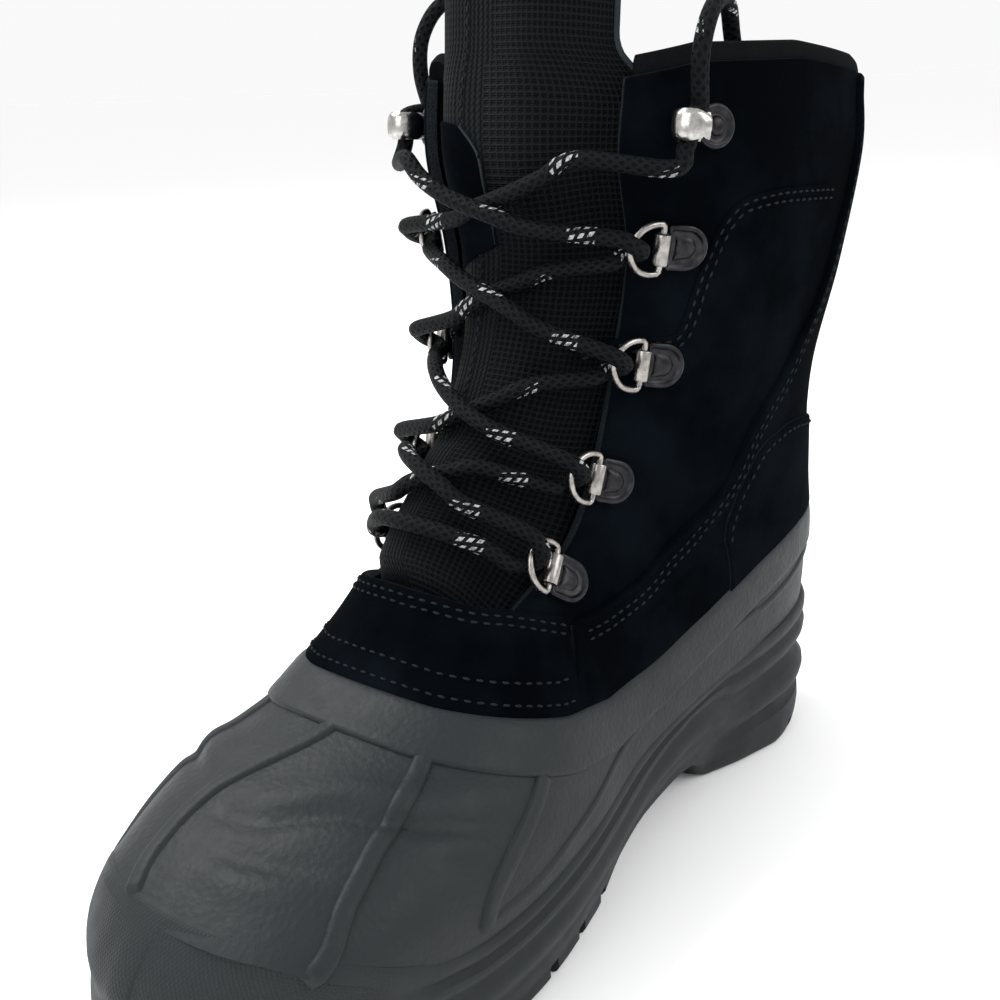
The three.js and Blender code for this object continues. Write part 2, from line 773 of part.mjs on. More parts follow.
const AGLET_LENGTH = 20;
for (const [sideName, route] of Object.entries(LACE_ENDS)) {
  const points = route.map(([x, y, z]) => new THREE.Vector3(x, y, z));
  add(`lace_end_${sideName}`, geometryOf(solid(tube(points, LACE_RADIUS, 13))), LACE);
  const end = points.at(-1);
  const down = end.clone().sub(points.at(-2)).normalize();
  const tip = new THREE.CylinderGeometry(LACE_RADIUS * 0.8, LACE_RADIUS * 0.8, AGLET_LENGTH, 8);
  tip.applyQuaternion(new THREE.Quaternion().setFromUnitVectors(new THREE.Vector3(0, 1, 0), down));
  const centreOfTip = end.clone().addScaledVector(down, AGLET_LENGTH / 2 + GAP);
  tip.translate(centreOfTip.x, centreOfTip.y, centreOfTip.z);
  add(`aglet_${sideName}`, geometryOf(solid(tip)), AGLET);
}

// ---- stand the boot on its own origin ----

const box = new THREE.Box3();
for (const piece of boot.children) if (!/^(lace_end|aglet)/.test(piece.name)) box.expandByObject(piece);
const centre = box.getCenter(new THREE.Vector3());
boot.position.set(-centre.x, -centre.y, -box.min.z);

export default boot;
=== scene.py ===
"""Looks of a tall lace-up snow boot for the left foot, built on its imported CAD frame.

Shapes are worked out in millimetres in the maker's frame: X from the back of the heel to the toe, Y to the
wearer's left, Z up from the floor. in_frame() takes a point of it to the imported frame, in metres. A point of
the body is named by its place, counted in sections from the collar, and its angle from the front or top.
"""

import logging
import math
from dataclasses import dataclass
from enum import Enum
from typing import Callable, Optional, Sequence

import bpy
import numpy as np
from mathutils import Matrix, Vector

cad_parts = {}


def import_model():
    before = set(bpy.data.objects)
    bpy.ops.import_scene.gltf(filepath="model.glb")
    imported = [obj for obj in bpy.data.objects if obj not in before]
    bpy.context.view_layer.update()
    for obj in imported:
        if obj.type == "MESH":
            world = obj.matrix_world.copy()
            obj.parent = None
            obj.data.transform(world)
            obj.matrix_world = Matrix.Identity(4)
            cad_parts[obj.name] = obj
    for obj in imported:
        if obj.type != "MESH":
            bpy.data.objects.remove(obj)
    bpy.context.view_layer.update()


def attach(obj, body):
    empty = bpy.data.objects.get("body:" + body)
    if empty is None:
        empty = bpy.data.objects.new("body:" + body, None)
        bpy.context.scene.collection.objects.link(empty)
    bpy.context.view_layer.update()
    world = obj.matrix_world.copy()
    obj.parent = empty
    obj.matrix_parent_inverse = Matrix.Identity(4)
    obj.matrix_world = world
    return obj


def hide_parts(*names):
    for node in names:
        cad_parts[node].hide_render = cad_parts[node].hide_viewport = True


log = logging.getLogger("snow_boot")

SHIFT = np.array([-146.752, -1.983, 0.0])  # maker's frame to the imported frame, mm
MM = 0.001
BODY_NAME = "root"
TURN = 2 * math.pi  # radians

Array = np.ndarray
Grid = Array  # rows x columns x 3
Rows = Sequence[tuple]
Rule = Callable[[Array], Array]  # a value at points in mm
Piece = bpy.types.Object
Socket = bpy.types.NodeSocket


def in_frame(points: Array) -> Array:
    """Take points of the maker's frame, in mm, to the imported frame, in metres."""
    return (np.asarray(points, dtype=float) + SHIFT) * MM


def smoothstep(value: Array, low: float, high: float) -> Array:
    """Rise smoothly from 0 at low to 1 at high."""
    t = np.clip((np.asarray(value, dtype=float) - low) / (high - low), 0, 1)
    return t * t * (3 - 2 * t)


def read(table: Array, at: Array) -> Array:
    """Read a table of two columns at values of its first."""
    return np.interp(at, table[:, 0], table[:, 1])


def unit(vectors: Array) -> Array:
    """Vectors made one long."""
    return vectors / np.linalg.norm(vectors, axis=-1, keepdims=True)


def walked(points: Array) -> Array:
    """Length walked along a polyline up to each of its points."""
    return np.append(0, np.cumsum(np.linalg.norm(np.diff(points, axis=0), axis=1)))


def round_angles(count: int) -> Array:
    """Even angles once round, in radians."""
    return np.linspace(0, TURN, count + 1)[:-1]


# ---- tables of the boot's form, as in the part's source ----

# front x, z; back x, z; left, right; middle; widest; exponents of the front and back half-ovals
BODY_ROWS = (
    (147, 246, -6, 226, 59, 56, 0, 0.5, 2.3, 2.4),  # collar
    (149, 219, -4, 211, 60.5, 56.5, 0, 0.5, 2.3, 2.4),  # cuff
    (143, 192, 6, 175, 56.5, 54, 0, 0.52, 2.3, 2.4),  # shaft
    (148, 165, 13, 139, 50, 47.5, 0, 0.55, 2.2, 2.4),  # ankle
    (160, 144, 7, 101, 46, 44.5, 0, 0.58, 2.1, 2.5),  # instep
    (171, 136, 3, 65, 44.5, 42.5, 0, 0.62, 2.0, 2.7),  # heel
    (179, 128.5, 19, 35, 44, 41, 0, 0.66, 2.0, 2.9),  # seat
    (186, 121, 80, 32, 43, 40, 0, 0.7, 2.0, 3.0),  # shank
    (192, 112, 127, 29, 45, 42.5, 0, 0.7, 2.0, 3.0),  # waist
    (202, 99, 170, 26, 51, 48, 1.5, 0.7, 2.0, 3.0),  # joint
    (219, 84, 207, 25.5, 53, 51, 3, 0.68, 2.1, 3.1),  # ball
    (245, 75, 241, 26.5, 51.5, 49, 3, 0.64, 2.2, 3.2),  # vamp
    (270, 65.5, 272, 28.5, 44, 39, 3.5, 0.6, 2.3, 3.0),  # toebox
    (287, 56, 288, 32, 34, 30, 3.5, 0.55, 2.3, 2.6),  # toecap
    (294, 48, 295.5, 37, 18.5, 16, 2.5, 0.5, 2.1, 2.2),  # tip
)

# x, half-width to the left, half-width to the right
OUTLINE_ROWS = (
    (0, 9, 9), (4, 22, 21), (14, 33.5, 32), (32, 40, 38), (58, 41, 38.5), (90, 39.5, 36), (125, 42, 37.5),
    (160, 49.5, 44), (190, 55.5, 50), (218, 57, 53), (245, 54, 51), (267, 47.5, 44), (282, 38, 35),
    (291, 27, 23.5), (297, 15, 13), (299.5, 5, 5),
)  # fmt: skip

# x, z of the tread in side view
UNDERSIDE = np.array(
    [
        (-8, 6), (5, 0), (78, 0), (84, 9), (92, 13.5), (104, 14), (122, 10.5), (142, 5), (160, 0),
        (238, 0), (256, 1.5), (276, 4.5), (296, 9), (316, 15),
    ]
)  # fmt: skip

# x, how far the side wall draws in at the ground
FLARE = np.array(
    [
        (0, 1), (40, 1.5), (60, 6), (80, 12), (100, 13), (125, 13), (142, 11), (160, 7.5), (190, 6.5),
        (218, 6), (245, 5), (267, 3), (300, 2),
    ]
)  # fmt: skip
WALL_UPRIGHT = 30.0  # the wall is widest at this height

# x, z of the groove between the sole's side wall and the shell, rising over the toe bumper
GROOVE = np.array(
    [
        (-12, 58), (20, 57), (55, 54), (75, 52), (110, 48.5), (147, 45), (180, 40.5), (208, 37), (226, 36.5),
        (242, 39.5), (254, 44.5), (268, 51.5), (278, 56.5), (286, 58), (310, 58.5),
    ]
)  # fmt: skip

# x, z of the edge where the suede meets the shell
SHELL_TOP = np.array(
    [
        (-16, 92), (20, 93), (44, 91), (73, 85), (102, 77), (130, 71), (158, 70), (180, 74), (198, 80),
        (212, 84.5), (222, 90), (228, 104),
    ]
)  # fmt: skip

# z, half-width of the throat
THROAT = np.array([(96, 27), (112, 28.5), (140, 30), (165, 31), (195, 34), (230, 35.5), (300, 36)])

# x, z of the collar's padded top
COLLAR_TOP = np.array([(-14, 231), (8, 236), (40, 243), (80, 247), (120, 247), (150, 241), (170, 228)])
SUEDE_BELOW_COLLAR = 5.0

# place and angle in degrees of stations near lines round the left side, from the front to the back
EDGE_GUIDE = (
    (9.82, 0), (9.76, 18), (9.45, 38), (8.92, 56), (8.39, 68), (7.88, 75), (7.3, 77), (6.76, 78), (6.28, 78),
    (5.73, 81), (5.26, 89), (4.86, 98), (4.55, 116), (4.34, 137), (4.25, 161), (4.23, 180),
)  # fmt: skip
GROOVE_GUIDE = (
    (13.05, 0), (12.83, 35), (12.1, 69), (11.35, 90), (10.67, 101), (9.95, 103), (9.25, 101), (8.61, 100),
    (8.02, 101), (7.42, 101), (6.85, 102), (6.39, 101), (5.94, 107), (5.54, 125), (5.29, 154), (5.22, 180),
)  # fmt: skip


class Sections:
    """A table of sections, read at any place by smooth curves through its columns."""

    def __init__(self, rows: Rows) -> None:
        """Keep the rows as an array."""
        self.rows = np.array(rows, dtype=float)

    def at(self, place: Array) -> Array:
        """Read every column at places counted in rows.

        Args:
            place: Places of any shape; they run straight past both ends.

        Returns:
            The columns' values, in a last axis added to place's shape.
        """
        place = np.asarray(place, dtype=float)
        last = len(self.rows) - 1
        i = np.clip(np.floor(place).astype(int), 0, last - 1)
        f = (np.clip(place, 0, last) - i)[..., None]
        a, b, c, d = (self.rows[np.clip(i + k, 0, last)] for k in (-1, 0, 1, 2))
        f2, f3 = f * f, f * f * f
        smooth = (
            (2 * f3 - 3 * f2 + 1) * b
            + (f3 - 2 * f2 + f) * (c - a) / 2
            + (3 * f2 - 2 * f3) * c
            + (f3 - f2) * (d - b) / 2
        )
        below = np.minimum(place, 0)[..., None] * (self.rows[1] - self.rows[0])
        above = np.maximum(place - last, 0)[..., None] * (self.rows[-1] - self.rows[-2])
        return smooth + below + above


class Body:
    """The boot's body: a smooth skin through its sections, with offsets along its normal."""

    def __init__(self, rows: Rows) -> None:
        """Keep the sections."""
        self.sections = Sections(rows)
        self.last = len(rows) - 1

    def bare(self, place: Array, angle: Array) -> Array:
        """Points of the skin itself.

        Args:
            place: Places of points, in sections.
            angle: Their angles in radians, 0 at the front or top, positive to the left.

        Returns:
            The points, in mm.
        """
        place, angle = np.broadcast_arrays(np.asarray(place, float), np.asarray(angle, float))
        fx, fz, bx, bz, left, right, middle, widest, front, back = np.moveaxis(self.sections.at(place), -1, 0)
        c, s = np.cos(angle), np.sin(angle)
        exponent = np.where(c >= 0, front, back)
        oval_c, oval_s = np.abs(c) ** (2 / exponent), np.abs(s) ** (2 / exponent)
        along = np.where(c >= 0, widest * (1 - oval_c), widest + (1 - widest) * oval_c)
        half = np.where(s >= 0, left, right) * np.sign(s)
        return np.stack((fx + (bx - fx) * along, middle + half * oval_s, fz + (bz - fz) * along), axis=-1)

    def slopes(self, place: Array, angle: Array) -> tuple[Array, Array]:
        """How the skin's point moves with place and with angle.

        Args:
            place: Places of points, in sections.
            angle: Their angles, in radians.

        Returns:
            Its steps for a section and for a radian, in mm.
        """
        step = 0.02
        by_place = (self.bare(place + step, angle) - self.bare(place - step, angle)) / (2 * step)
        by_angle = (self.bare(place, angle + step) - self.bare(place, angle - step)) / (2 * step)
        return by_place, by_angle

    def normal(self, place: Array, angle: Array) -> Array:
        """Outward normals of the skin.

        Args:
            place: Places of points, in sections.
            angle: Their angles, in radians.

        Returns:
            Unit vectors.
        """
        by_place, by_angle = self.slopes(np.asarray(place, float), np.asarray(angle, float))
        out = np.cross(by_place, by_angle)
        return unit(out)

    def point(self, place: Array, angle: Array, out: Array = 0.0) -> Array:
        """Points at a height over the skin."""
        out = np.asarray(out, dtype=float)[..., None]
        return self.bare(place, angle) + out * self.normal(place, angle)

    def shift(self, place: Array, angle: Array, move: Array) -> tuple[Array, Array]:
        """Move points over the skin by steps in space.

        Args:
            place: Places of points, in sections.
            angle: Their angles, in radians.
            move: Steps in mm.

        Returns:
            The new places and angles.
        """
        p, a = self.slopes(place, angle)
        pp, pa, aa = (p * p).sum(-1), (p * a).sum(-1), (a * a).sum(-1)
        mp, ma = (move * p).sum(-1), (move * a).sum(-1)
        det = pp * aa - pa * pa
        return place + (mp * aa - ma * pa) / det, angle + (ma * pp - mp * pa) / det


BODY = Body(BODY_ROWS)


def mirrored(stations: Rows) -> tuple:
    """Stations of the right side for those of the left, in the order of rising angle."""
    return tuple((place, -angle) for place, angle in stations[::-1])


@dataclass
class Line:
    """A line on the body's skin, as places and angles of its points."""

    place: Array
    angle: Array
    loop: bool = False

    @classmethod
    def through(cls, stations: Rows, step: float = 1.5) -> "Line":
        """Make a smooth line through stations.

        Args:
            stations: Pairs of place and angle, the angle in degrees.
            step: Distance between the line's points, in mm.

        Returns:
            The line, its points evenly spaced.
        """
        table = Sections(stations)
        dense = table.at(np.linspace(0, len(stations) - 1, 60 * len(stations)))
        return cls(dense[:, 0], np.radians(dense[:, 1])).spaced(step)

    @classmethod
    def around(cls, guide: Rows, rule: Rule, step: float) -> "Line":
        """Make a closed line round the boot on which a rule is 0.

        Args:
            guide: Stations near the line, from the front over the left side to the back.
            rule: Gives, for points in mm, a value that is 0 on the line.
            step: Distance between the line's points, in mm.

        Returns:
            A closed line from the back, over the right side, the front and the left side.
        """
        line = cls.through(mirrored(guide)[:-1] + tuple(guide), step)
        return cls(line.place[:-1], line.angle[:-1], loop=True).snapped(rule).spaced(step)

    def snapped(self, rule: Rule, turns: int = 8) -> "Line":
        """Move the line's points over the skin until a rule is 0 at them.

        Args:
            rule: Gives a value for points in mm.
            turns: Number of corrections.

        Returns:
            The corrected line.
        """
        place, angle, h = self.place.copy(), self.angle.copy(), 1e-3
        for _ in range(turns):
            value = rule(BODY.bare(place, angle))
            by_place = (rule(BODY.bare(place + h, angle)) - rule(BODY.bare(place - h, angle))) / (2 * h)
            by_angle = (rule(BODY.bare(place, angle + h)) - rule(BODY.bare(place, angle - h))) / (2 * h)
            p, a = BODY.slopes(place, angle)
            pp, pa, aa = (p * p).sum(-1), (p * a).sum(-1), (a * a).sum(-1)
            to_place, to_angle = by_place * aa - by_angle * pa, by_angle * pp - by_place * pa
            share = value / (by_place * to_place + by_angle * to_angle)
            place, angle = place - share * to_place, angle - share * to_angle
        return Line(place, angle, self.loop)

    def resampled(self, count: int, spread: Optional[Array] = None) -> "Line":
        """Give the line a number of points.

        Args:
            count: Number of points.
            spread: Their shares of its length, or None for even ones.

        Returns:
            The line through those points.
        """
        place, angle = self.place, self.angle
        if self.loop:
            place, angle = np.append(place, place[0]), np.append(angle, angle[0] + TURN)
        points = BODY.bare(place, angle)
        length = walked(points)
        if spread is None:
            spread = np.linspace(0, 1, count + 1)[:count] if self.loop else np.linspace(0, 1, count)
        stops = spread * length[-1]
        return Line(np.interp(stops, length, place), np.interp(stops, length, angle), self.loop)

    def spaced(self, step: float) -> "Line":
        """Space the line's points evenly.

        Args:
            step: Distance between its points, in mm.

        Returns:
            The line so spaced.
        """
        points = self.points()
        length = np.linalg.norm(np.diff(points, axis=0), axis=1).sum()
        return self.resampled(max(int(round(length / step)), 4) + (0 if self.loop else 1))

    def moved(self, distance: float, steps: int = 0) -> "Line":
        """Move the line sideways over the skin.

        Args:
            distance: How far, in mm; positive is to the line's left seen from outside.
            steps: Number of steps, or 0 for one each 1.5 mm.

        Returns:
            The moved line, point for point.
        """
        if distance == 0:
            return Line(self.place.copy(), self.angle.copy(), self.loop)
        steps = steps or max(int(abs(distance) / 1.5), 1)
        place, angle = self.place, self.angle
        for _ in range(steps):
            points = BODY.bare(place, angle)
            if self.loop:
                tangent = np.roll(points, -1, axis=0) - np.roll(points, 1, axis=0)
            else:
                tangent = np.gradient(points, axis=0)
            side = np.cross(BODY.normal(place, angle), tangent)
            side = unit(side)
            place, angle = BODY.shift(place, angle, side * distance / steps)
        return Line(place, angle, self.loop)

    def points(self, out: Array = 0.0) -> Array:
        """The line's points in mm, at a height over the skin."""
        return BODY.point(self.place, self.angle, np.broadcast_to(out, self.place.shape))

    def part(self, first: float, last: float) -> "Line":
        """Part of the line, between two fractions of its number of points."""
        i, j = (int(round(f * (len(self.place) - 1))) for f in (first, last))
        return Line(self.place[i : j + 1], self.angle[i : j + 1])


def sole_edge(points: Array) -> Array:
    """Height of points over the groove between the sole and the shell."""
    return points[..., 2] - read(GROOVE, points[..., 0])


def shell_edge(points: Array) -> Array:
    """Height of points over the line where suede meets rubber."""
    return points[..., 2] - read(SHELL_TOP, points[..., 0])


# ---- shader maths and finishes ----


class Maths:
    """A shader socket that adds Math nodes when it is used in an expression."""

    def __init__(self, shader: "Shader", socket: Socket) -> None:
        """Wrap an output socket of a shader's tree."""
        self.shader = shader
        self.socket = socket

    def _op(self, operation: str, *others: object) -> "Maths":
        """Add a Math node on this value and others.

        Args:
            operation: What it does.
            others: The other values.

        Returns:
            Its result.
        """
        inputs = {0: self, **dict(enumerate(others, 1))}
        node = self.shader.node("ShaderNodeMath", {"operation": operation}, inputs)
        return Maths(self.shader, node.outputs[0])

    def _flipped(self, operation: str, other: object) -> "Maths":
        """Add a Math node with another value first."""
        node = self.shader.node("ShaderNodeMath", {"operation": operation}, {0: other, 1: self})
        return Maths(self.shader, node.outputs[0])

    def __add__(self, other: object) -> "Maths":
        """Add."""
        return self._op("ADD", other)

    __radd__ = __add__

    def __mul__(self, other: object) -> "Maths":
        """Multiply."""
        return self._op("MULTIPLY", other)

    __rmul__ = __mul__

    def __sub__(self, other: object) -> "Maths":
        """Subtract."""
        return self._op("SUBTRACT", other)

    def __rsub__(self, other: object) -> "Maths":
        """Subtract from another value."""
        return self._flipped("SUBTRACT", other)

    def __truediv__(self, other: object) -> "Maths":
        """Divide."""
        return self._op("DIVIDE", other)

    def __rtruediv__(self, other: object) -> "Maths":
        """Divide another value by this one."""
        return self._flipped("DIVIDE", other)

    def sine(self) -> "Maths":
        """Sine of the value in radians."""
        return self._op("SINE")

    def fraction(self) -> "Maths":
        """Part after the decimal point."""
        return self._op("FRACT")

    def above(self, limit: float) -> "Maths":
        """1 where the value is over a limit, else 0."""
        return self._op("GREATER_THAN", limit)

    def bigger(self, other: object) -> "Maths":
        """The larger of two values."""
        return self._op("MAXIMUM", other)

    def smaller(self, other: object) -> "Maths":
        """The smaller of two values."""
        return self._op("MINIMUM", other)

    def size(self) -> "Maths":
        """Value without its sign."""
        return self._op("ABSOLUTE")

    def step(self, low: float, high: float) -> "Maths":
        """Smooth rise from 0 to 1.

        Args:
            low: Value that gives 0.
            high: Value that gives 1.

        Returns:
            The rise.
        """
        node = self.shader.node(
            "ShaderNodeMapRange",
            {"interpolation_type": "SMOOTHSTEP"},
            {"Value": self, "From Min": low, "From Max": high, "To Min": 0.0, "To Max": 1.0},
        )
        return Maths(self.shader, node.outputs["Result"])


class Nodes:
    """A node tree that a script fills."""

    def __init__(self, tree: bpy.types.NodeTree) -> None:
        """Keep the tree."""
        self.tree = tree

    def node(
        self, kind: str, settings: Optional[dict] = None, inputs: Optional[dict] = None
    ) -> bpy.types.Node:
        """Add any node.

        Args:
            kind: The node's type.
            settings: Attributes, set first.
            inputs: Values or links of its sockets, by name or number.

        Returns:
            The node.
        """
        node = self.tree.nodes.new(kind)
        for key, value in (settings or {}).items():
            setattr(node, key, value)
        for key, value in (inputs or {}).items():
            self.feed(node.inputs[key], value)
        return node

    def feed(self, socket: Socket, value: object) -> None:
        """Link a socket to another, or set its value.

        Args:
            socket: An input.
            value: A socket, a wrapped one, or a plain value.
        """
        if isinstance(value, Maths):
            value = value.socket
        if isinstance(value, Socket):
            self.tree.links.new(value, socket)
        else:
            socket.default_value = value


class Shader(Nodes):
    """One material's node tree, filled by a finish."""

    def __init__(self, name: str) -> None:
        """Make a material with a bare Principled shader.

        Args:
            name: The material's name.
        """
        self.material = bpy.data.materials.new(name)
        self.material.use_nodes = True
        super().__init__(self.material.node_tree)
        self.principled = self.tree.nodes["Principled BSDF"]

    def object_coordinates(self) -> Socket:
        """Place in the piece's own space."""
        return self.node("ShaderNodeTexCoord").outputs["Object"]

    def split(self, vector: Socket) -> list["Maths"]:
        """The three parts of a vector."""
        node = self.node("ShaderNodeSeparateXYZ", inputs={0: vector})
        return [Maths(self, output) for output in node.outputs]

    def uv(self) -> list["Maths"]:
        """The piece's UV map, in metres along and across it."""
        return self.split(self.node("ShaderNodeUVMap").outputs["UV"])

    def attribute(self, name: str) -> "Maths":
        """A value stored on the piece's points."""
        return Maths(self, self.node("ShaderNodeAttribute", {"attribute_name": name}).outputs["Fac"])

    def noise(self, scale: float, detail: float = 2.0, rough: float = 0.5) -> "Maths":
        """Smooth noise; scale counts features in a metre."""
        inputs = {"Scale": scale, "Detail": detail, "Roughness": rough, "Vector": self.object_coordinates()}
        return Maths(self, self.node("ShaderNodeTexNoise", inputs=inputs).outputs[0])

    def cells(self, scale: float) -> "Maths":
        """Distance to the nearest of scattered points; scale counts them in a metre."""
        inputs = {"Scale": scale, "Vector": self.object_coordinates()}
        return Maths(self, self.node("ShaderNodeTexVoronoi", inputs=inputs).outputs["Distance"])

    def colour(self, factor: "Maths", low: tuple, high: tuple) -> Socket:
        """Mix two colours by a factor."""
        return self.blend(factor, opaque(low), high)

    def blend(self, factor: "Maths", low: object, high: tuple) -> Socket:
        """Mix a made colour, or one with its alpha, with another."""
        node = self.node("ShaderNodeMix", {"data_type": "RGBA"}, {0: factor, 6: low, 7: opaque(high)})
        return node.outputs[2]

    def relief(self, height: "Maths", depth: float, distance: float = MM) -> None:
        """Bump the surface by a height whose unit is the given distance."""
        bump = self.node("ShaderNodeBump", inputs={"Height": height, "Strength": depth, "Distance": distance})
        self.feed(self.principled.inputs["Normal"], bump.outputs["Normal"])

    def set(self, **values: object) -> None:
        """Feed sockets of the Principled shader, named with underscores for spaces."""
        for name, value in values.items():
            self.feed(self.principled.inputs[name.replace("_", " ").title()], value)

    def shine(self, level: float) -> None:
        """Set how strongly the surface mirrors."""
        self.principled.inputs["Specular IOR Level"].default_value = level


def opaque(colour: tuple) -> tuple:
    """A colour with its alpha."""
    return (*colour, 1.0)


@dataclass(frozen=True)
class Finish:
    """A finish that is the same all over."""

    name: str
    slot: str
    colour: tuple
    rough: float
    metal: float = 0.0

    def material(self) -> bpy.types.Material:
        """The finish's material, made once.

        Returns:
            The material.
        """
        found = bpy.data.materials.get(self.name)
        if found:
            return found
        shader = Shader(self.name)
        shader.set(base_color=opaque(self.colour), roughness=self.rough, metallic=self.metal)
        self.dress(shader)
        return shader.material

    def dress(self, shader: Shader) -> None:
        """Add what varies over the surface; a plain finish has nothing."""

    def shade(self, factor: float) -> tuple:
        """The colour, darker or lighter by a factor."""
        return tuple(c * factor for c in self.colour)


@dataclass(frozen=True)
class Rubber(Finish):
    """Moulded rubber with a fine pebble grain."""

    grain: float = 0.42
    mould: float = 0.0005  # metres of relief

    def dress(self, shader: Shader) -> None:
        """Grain, faint clouds in its tone, and a little dust."""
        self.cloud(shader)
        shader.relief(self.pebble(shader) * 0.7 + shader.cells(520) * 0.5, self.grain, self.mould)

    def cloud(self, shader: Shader) -> None:
        """Faint clouds in the tone, and a little dust.

        Args:
            shader: The material's nodes.
        """
        clouds = shader.noise(22, 2, 0.5)
        shader.set(base_color=shader.colour(clouds, self.shade(0.86), self.shade(1.18)))
        shader.set(roughness=self.rough - 0.1 + 0.2 * shader.noise(150, 2, 0.5))
        shader.shine(0.16)

    @staticmethod
    def pebble(shader: Shader) -> Maths:
        """Fine pebbles."""
        return shader.noise(620, 3, 0.6)


@dataclass(frozen=True)
class KnurledRubber(Rubber):
    """The sole's rubber, with a diamond knurl where the piece says so."""

    grain: float = 0.35
    pitch: float = 0.0024  # metres between knurls
    slant: float = 0.62

    def dress(self, shader: Shader) -> None:
        """Knurl by the piece's own UV map, masked by its knurl value.

        Args:
            shader: The material's nodes.
        """
        u, v, _ = shader.uv()
        turns = TURN / self.pitch
        one, other = (u + v * self.slant) * turns, (u - v * self.slant) * turns
        knurl = one.sine().size().smaller(other.sine().size())
        self.cloud(shader)
        height = self.pebble(shader) * 0.5 + shader.attribute("knurl") * knurl * 1.5
        shader.relief(height, self.grain, self.mould)


@dataclass(frozen=True)
class Suede(Finish):
    """Napped split leather: brushed clouds, fine fibres and lint."""

    def dress(self, shader: Shader) -> None:
        """Nap and clouds.

        Args:
            shader: The material's nodes.
        """
        clouds = shader.noise(30, 3, 0.6)
        fibres = shader.noise(2600, 3, 0.7)
        base = shader.colour(clouds.step(0.35, 0.7), self.shade(0.55), self.shade(1.7))
        raw = shader.attribute("edge").step(0.2, 0.8) * fibres.step(0.3, 0.6)
        napped = shader.blend(fibres.step(0.62, 0.8) * 0.4, base, self.shade(5))
        shader.set(base_color=shader.blend(raw * 0.8, napped, Tone.FRAYED.value))
        shader.shine(0.01)
        shader.relief(fibres * 0.8 + shader.noise(420, 3, 0.6) * 1.2, 0.5, 0.0006)


class Tone(Enum):
    """Base colours shared by finishes, linear."""

    RUBBER = (0.0125, 0.0150, 0.0165)
    SUEDE = (0.0013, 0.0021, 0.0032)
    FRAYED = (0.022, 0.026, 0.030)
    LINING = (0.0035, 0.0042, 0.0045)
    CLOTH = (0.0024, 0.0031, 0.0035)
    PIPING = (0.018, 0.023, 0.025)
    THREAD = (0.012, 0.014, 0.017)
    LACE = (0.0022, 0.0028, 0.0032)
    FLECK = (0.42, 0.43, 0.43)
    AGLET = (0.02, 0.02, 0.02)
    NICKEL = (0.33, 0.31, 0.295)
    GUNMETAL = (0.028, 0.028, 0.03)
    BRIGHT = (0.45, 0.44, 0.42)


@dataclass(frozen=True)
class Cloth(Finish):
    """Brushed fleece lining: soft clouds and a fine pile."""

    def dress(self, shader: Shader) -> None:
        """Pile and clouds.

        Args:
            shader: The material's nodes.
        """
        pile = shader.noise(1500, 3, 0.7)
        clouds = shader.noise(90, 3, 0.6)
        shader.set(base_color=shader.colour(clouds, self.shade(0.6), self.shade(1.5)))
        shader.shine(0.03)
        shader.relief(pile + shader.noise(260, 2, 0.5) * 0.8, 0.6, 0.0007)


@dataclass(frozen=True)
class TongueCloth(Finish):
    """Tongue cover: a ribbed woven strip where web is 1, and open spacer mesh elsewhere."""

    # pitches in metres
    rib: float = 0.0031
    hole: float = 0.0036
    weave_along: float = 0.0017
    weave_across: float = 0.00155
    thread: float = 0.0006

    def dress(self, shader: Shader) -> None:
        """Ribs with a fine cross weave, and rows of oval holes, coloured by their relief: painted highlight on
        raised threads and painted shade in the holes and hollows.

        Args:
            shader: The material's nodes.
        """
        u, v, _ = shader.uv()
        web = shader.attribute("web").step(0.4, 0.6)
        ribs = (u * (TURN / self.rib)).sine().size()
        weave = (v * (TURN / self.weave_along)).sine() * (u * (TURN / self.weave_across)).sine()
        row = (v * (TURN / self.hole)).sine()
        holes = (row * (u * (TURN / self.hole)).sine()).size()
        threads = (v * (TURN / self.thread)).sine() * 0.2
        mesh_height = (holes * -1.6).step(-1.1, -0.25) + threads
        height = web * (ribs * 0.9 + weave * 0.3) + (1.0 - web) * mesh_height * 1.2
        # painted highlight and shade: the colour is lighter on the raised ribs and threads and darker in the
        # holes and hollows, following the relief height
        shader.set(base_color=shader.colour(height.step(0.05, 1.1), self.shade(0.25), self.shade(2.1)))
        shader.shine(0.07)
        shader.relief(height, 0.9, 0.0006)


@dataclass(frozen=True)
class Braid(Finish):
    """Round braided lace with pairs of pale flecks; its UV map runs round it and along it."""

    round_way: float = 0.01508  # metres round the lace
    strands: int = 6
    pitch: float = 0.0185

    def dress(self, shader: Shader) -> None:
        """Two families of crossing strands, painted lighter on their crests as highlight and darker between
        them as shade, and flecks on one strand of each.

        Args:
            shader: The material's nodes.
        """
        u, v, _ = shader.uv()
        around = u * (TURN * self.strands / self.round_way)
        along = v * (TURN * self.strands / self.pitch)
        one, other = (around + along) * 0.5, (around - along) * 0.5
        height = one.sine().size().bigger(other.sine().size())
        fine = (v * 9000.0 + u * 5000.0).sine() * 0.1
        ring, walk = u / self.round_way, v / self.pitch
        group = (walk * 0.72).fraction().above(0.7) * (ring + walk * 0.4).fraction().above(0.5)
        long = (walk * 8.0 + ring * 3.0).fraction().above(0.45)
        dash = long * (ring * 6.0 + walk * 2.0).fraction().above(0.5)
        fleck = group * dash * shader.noise(900, 2, 0.5).step(0.25, 0.6)
        # painted highlight and shade: strand crests lighter, the grooves between strands darker
        base = shader.colour(height.step(0.55, 1.0), self.shade(0.4), self.shade(1.7))
        shader.set(base_color=shader.blend(fleck * 0.85, base, Tone.FLECK.value))
        shader.shine(0.06)
        shader.relief(height + fine, 0.8, 0.0007)


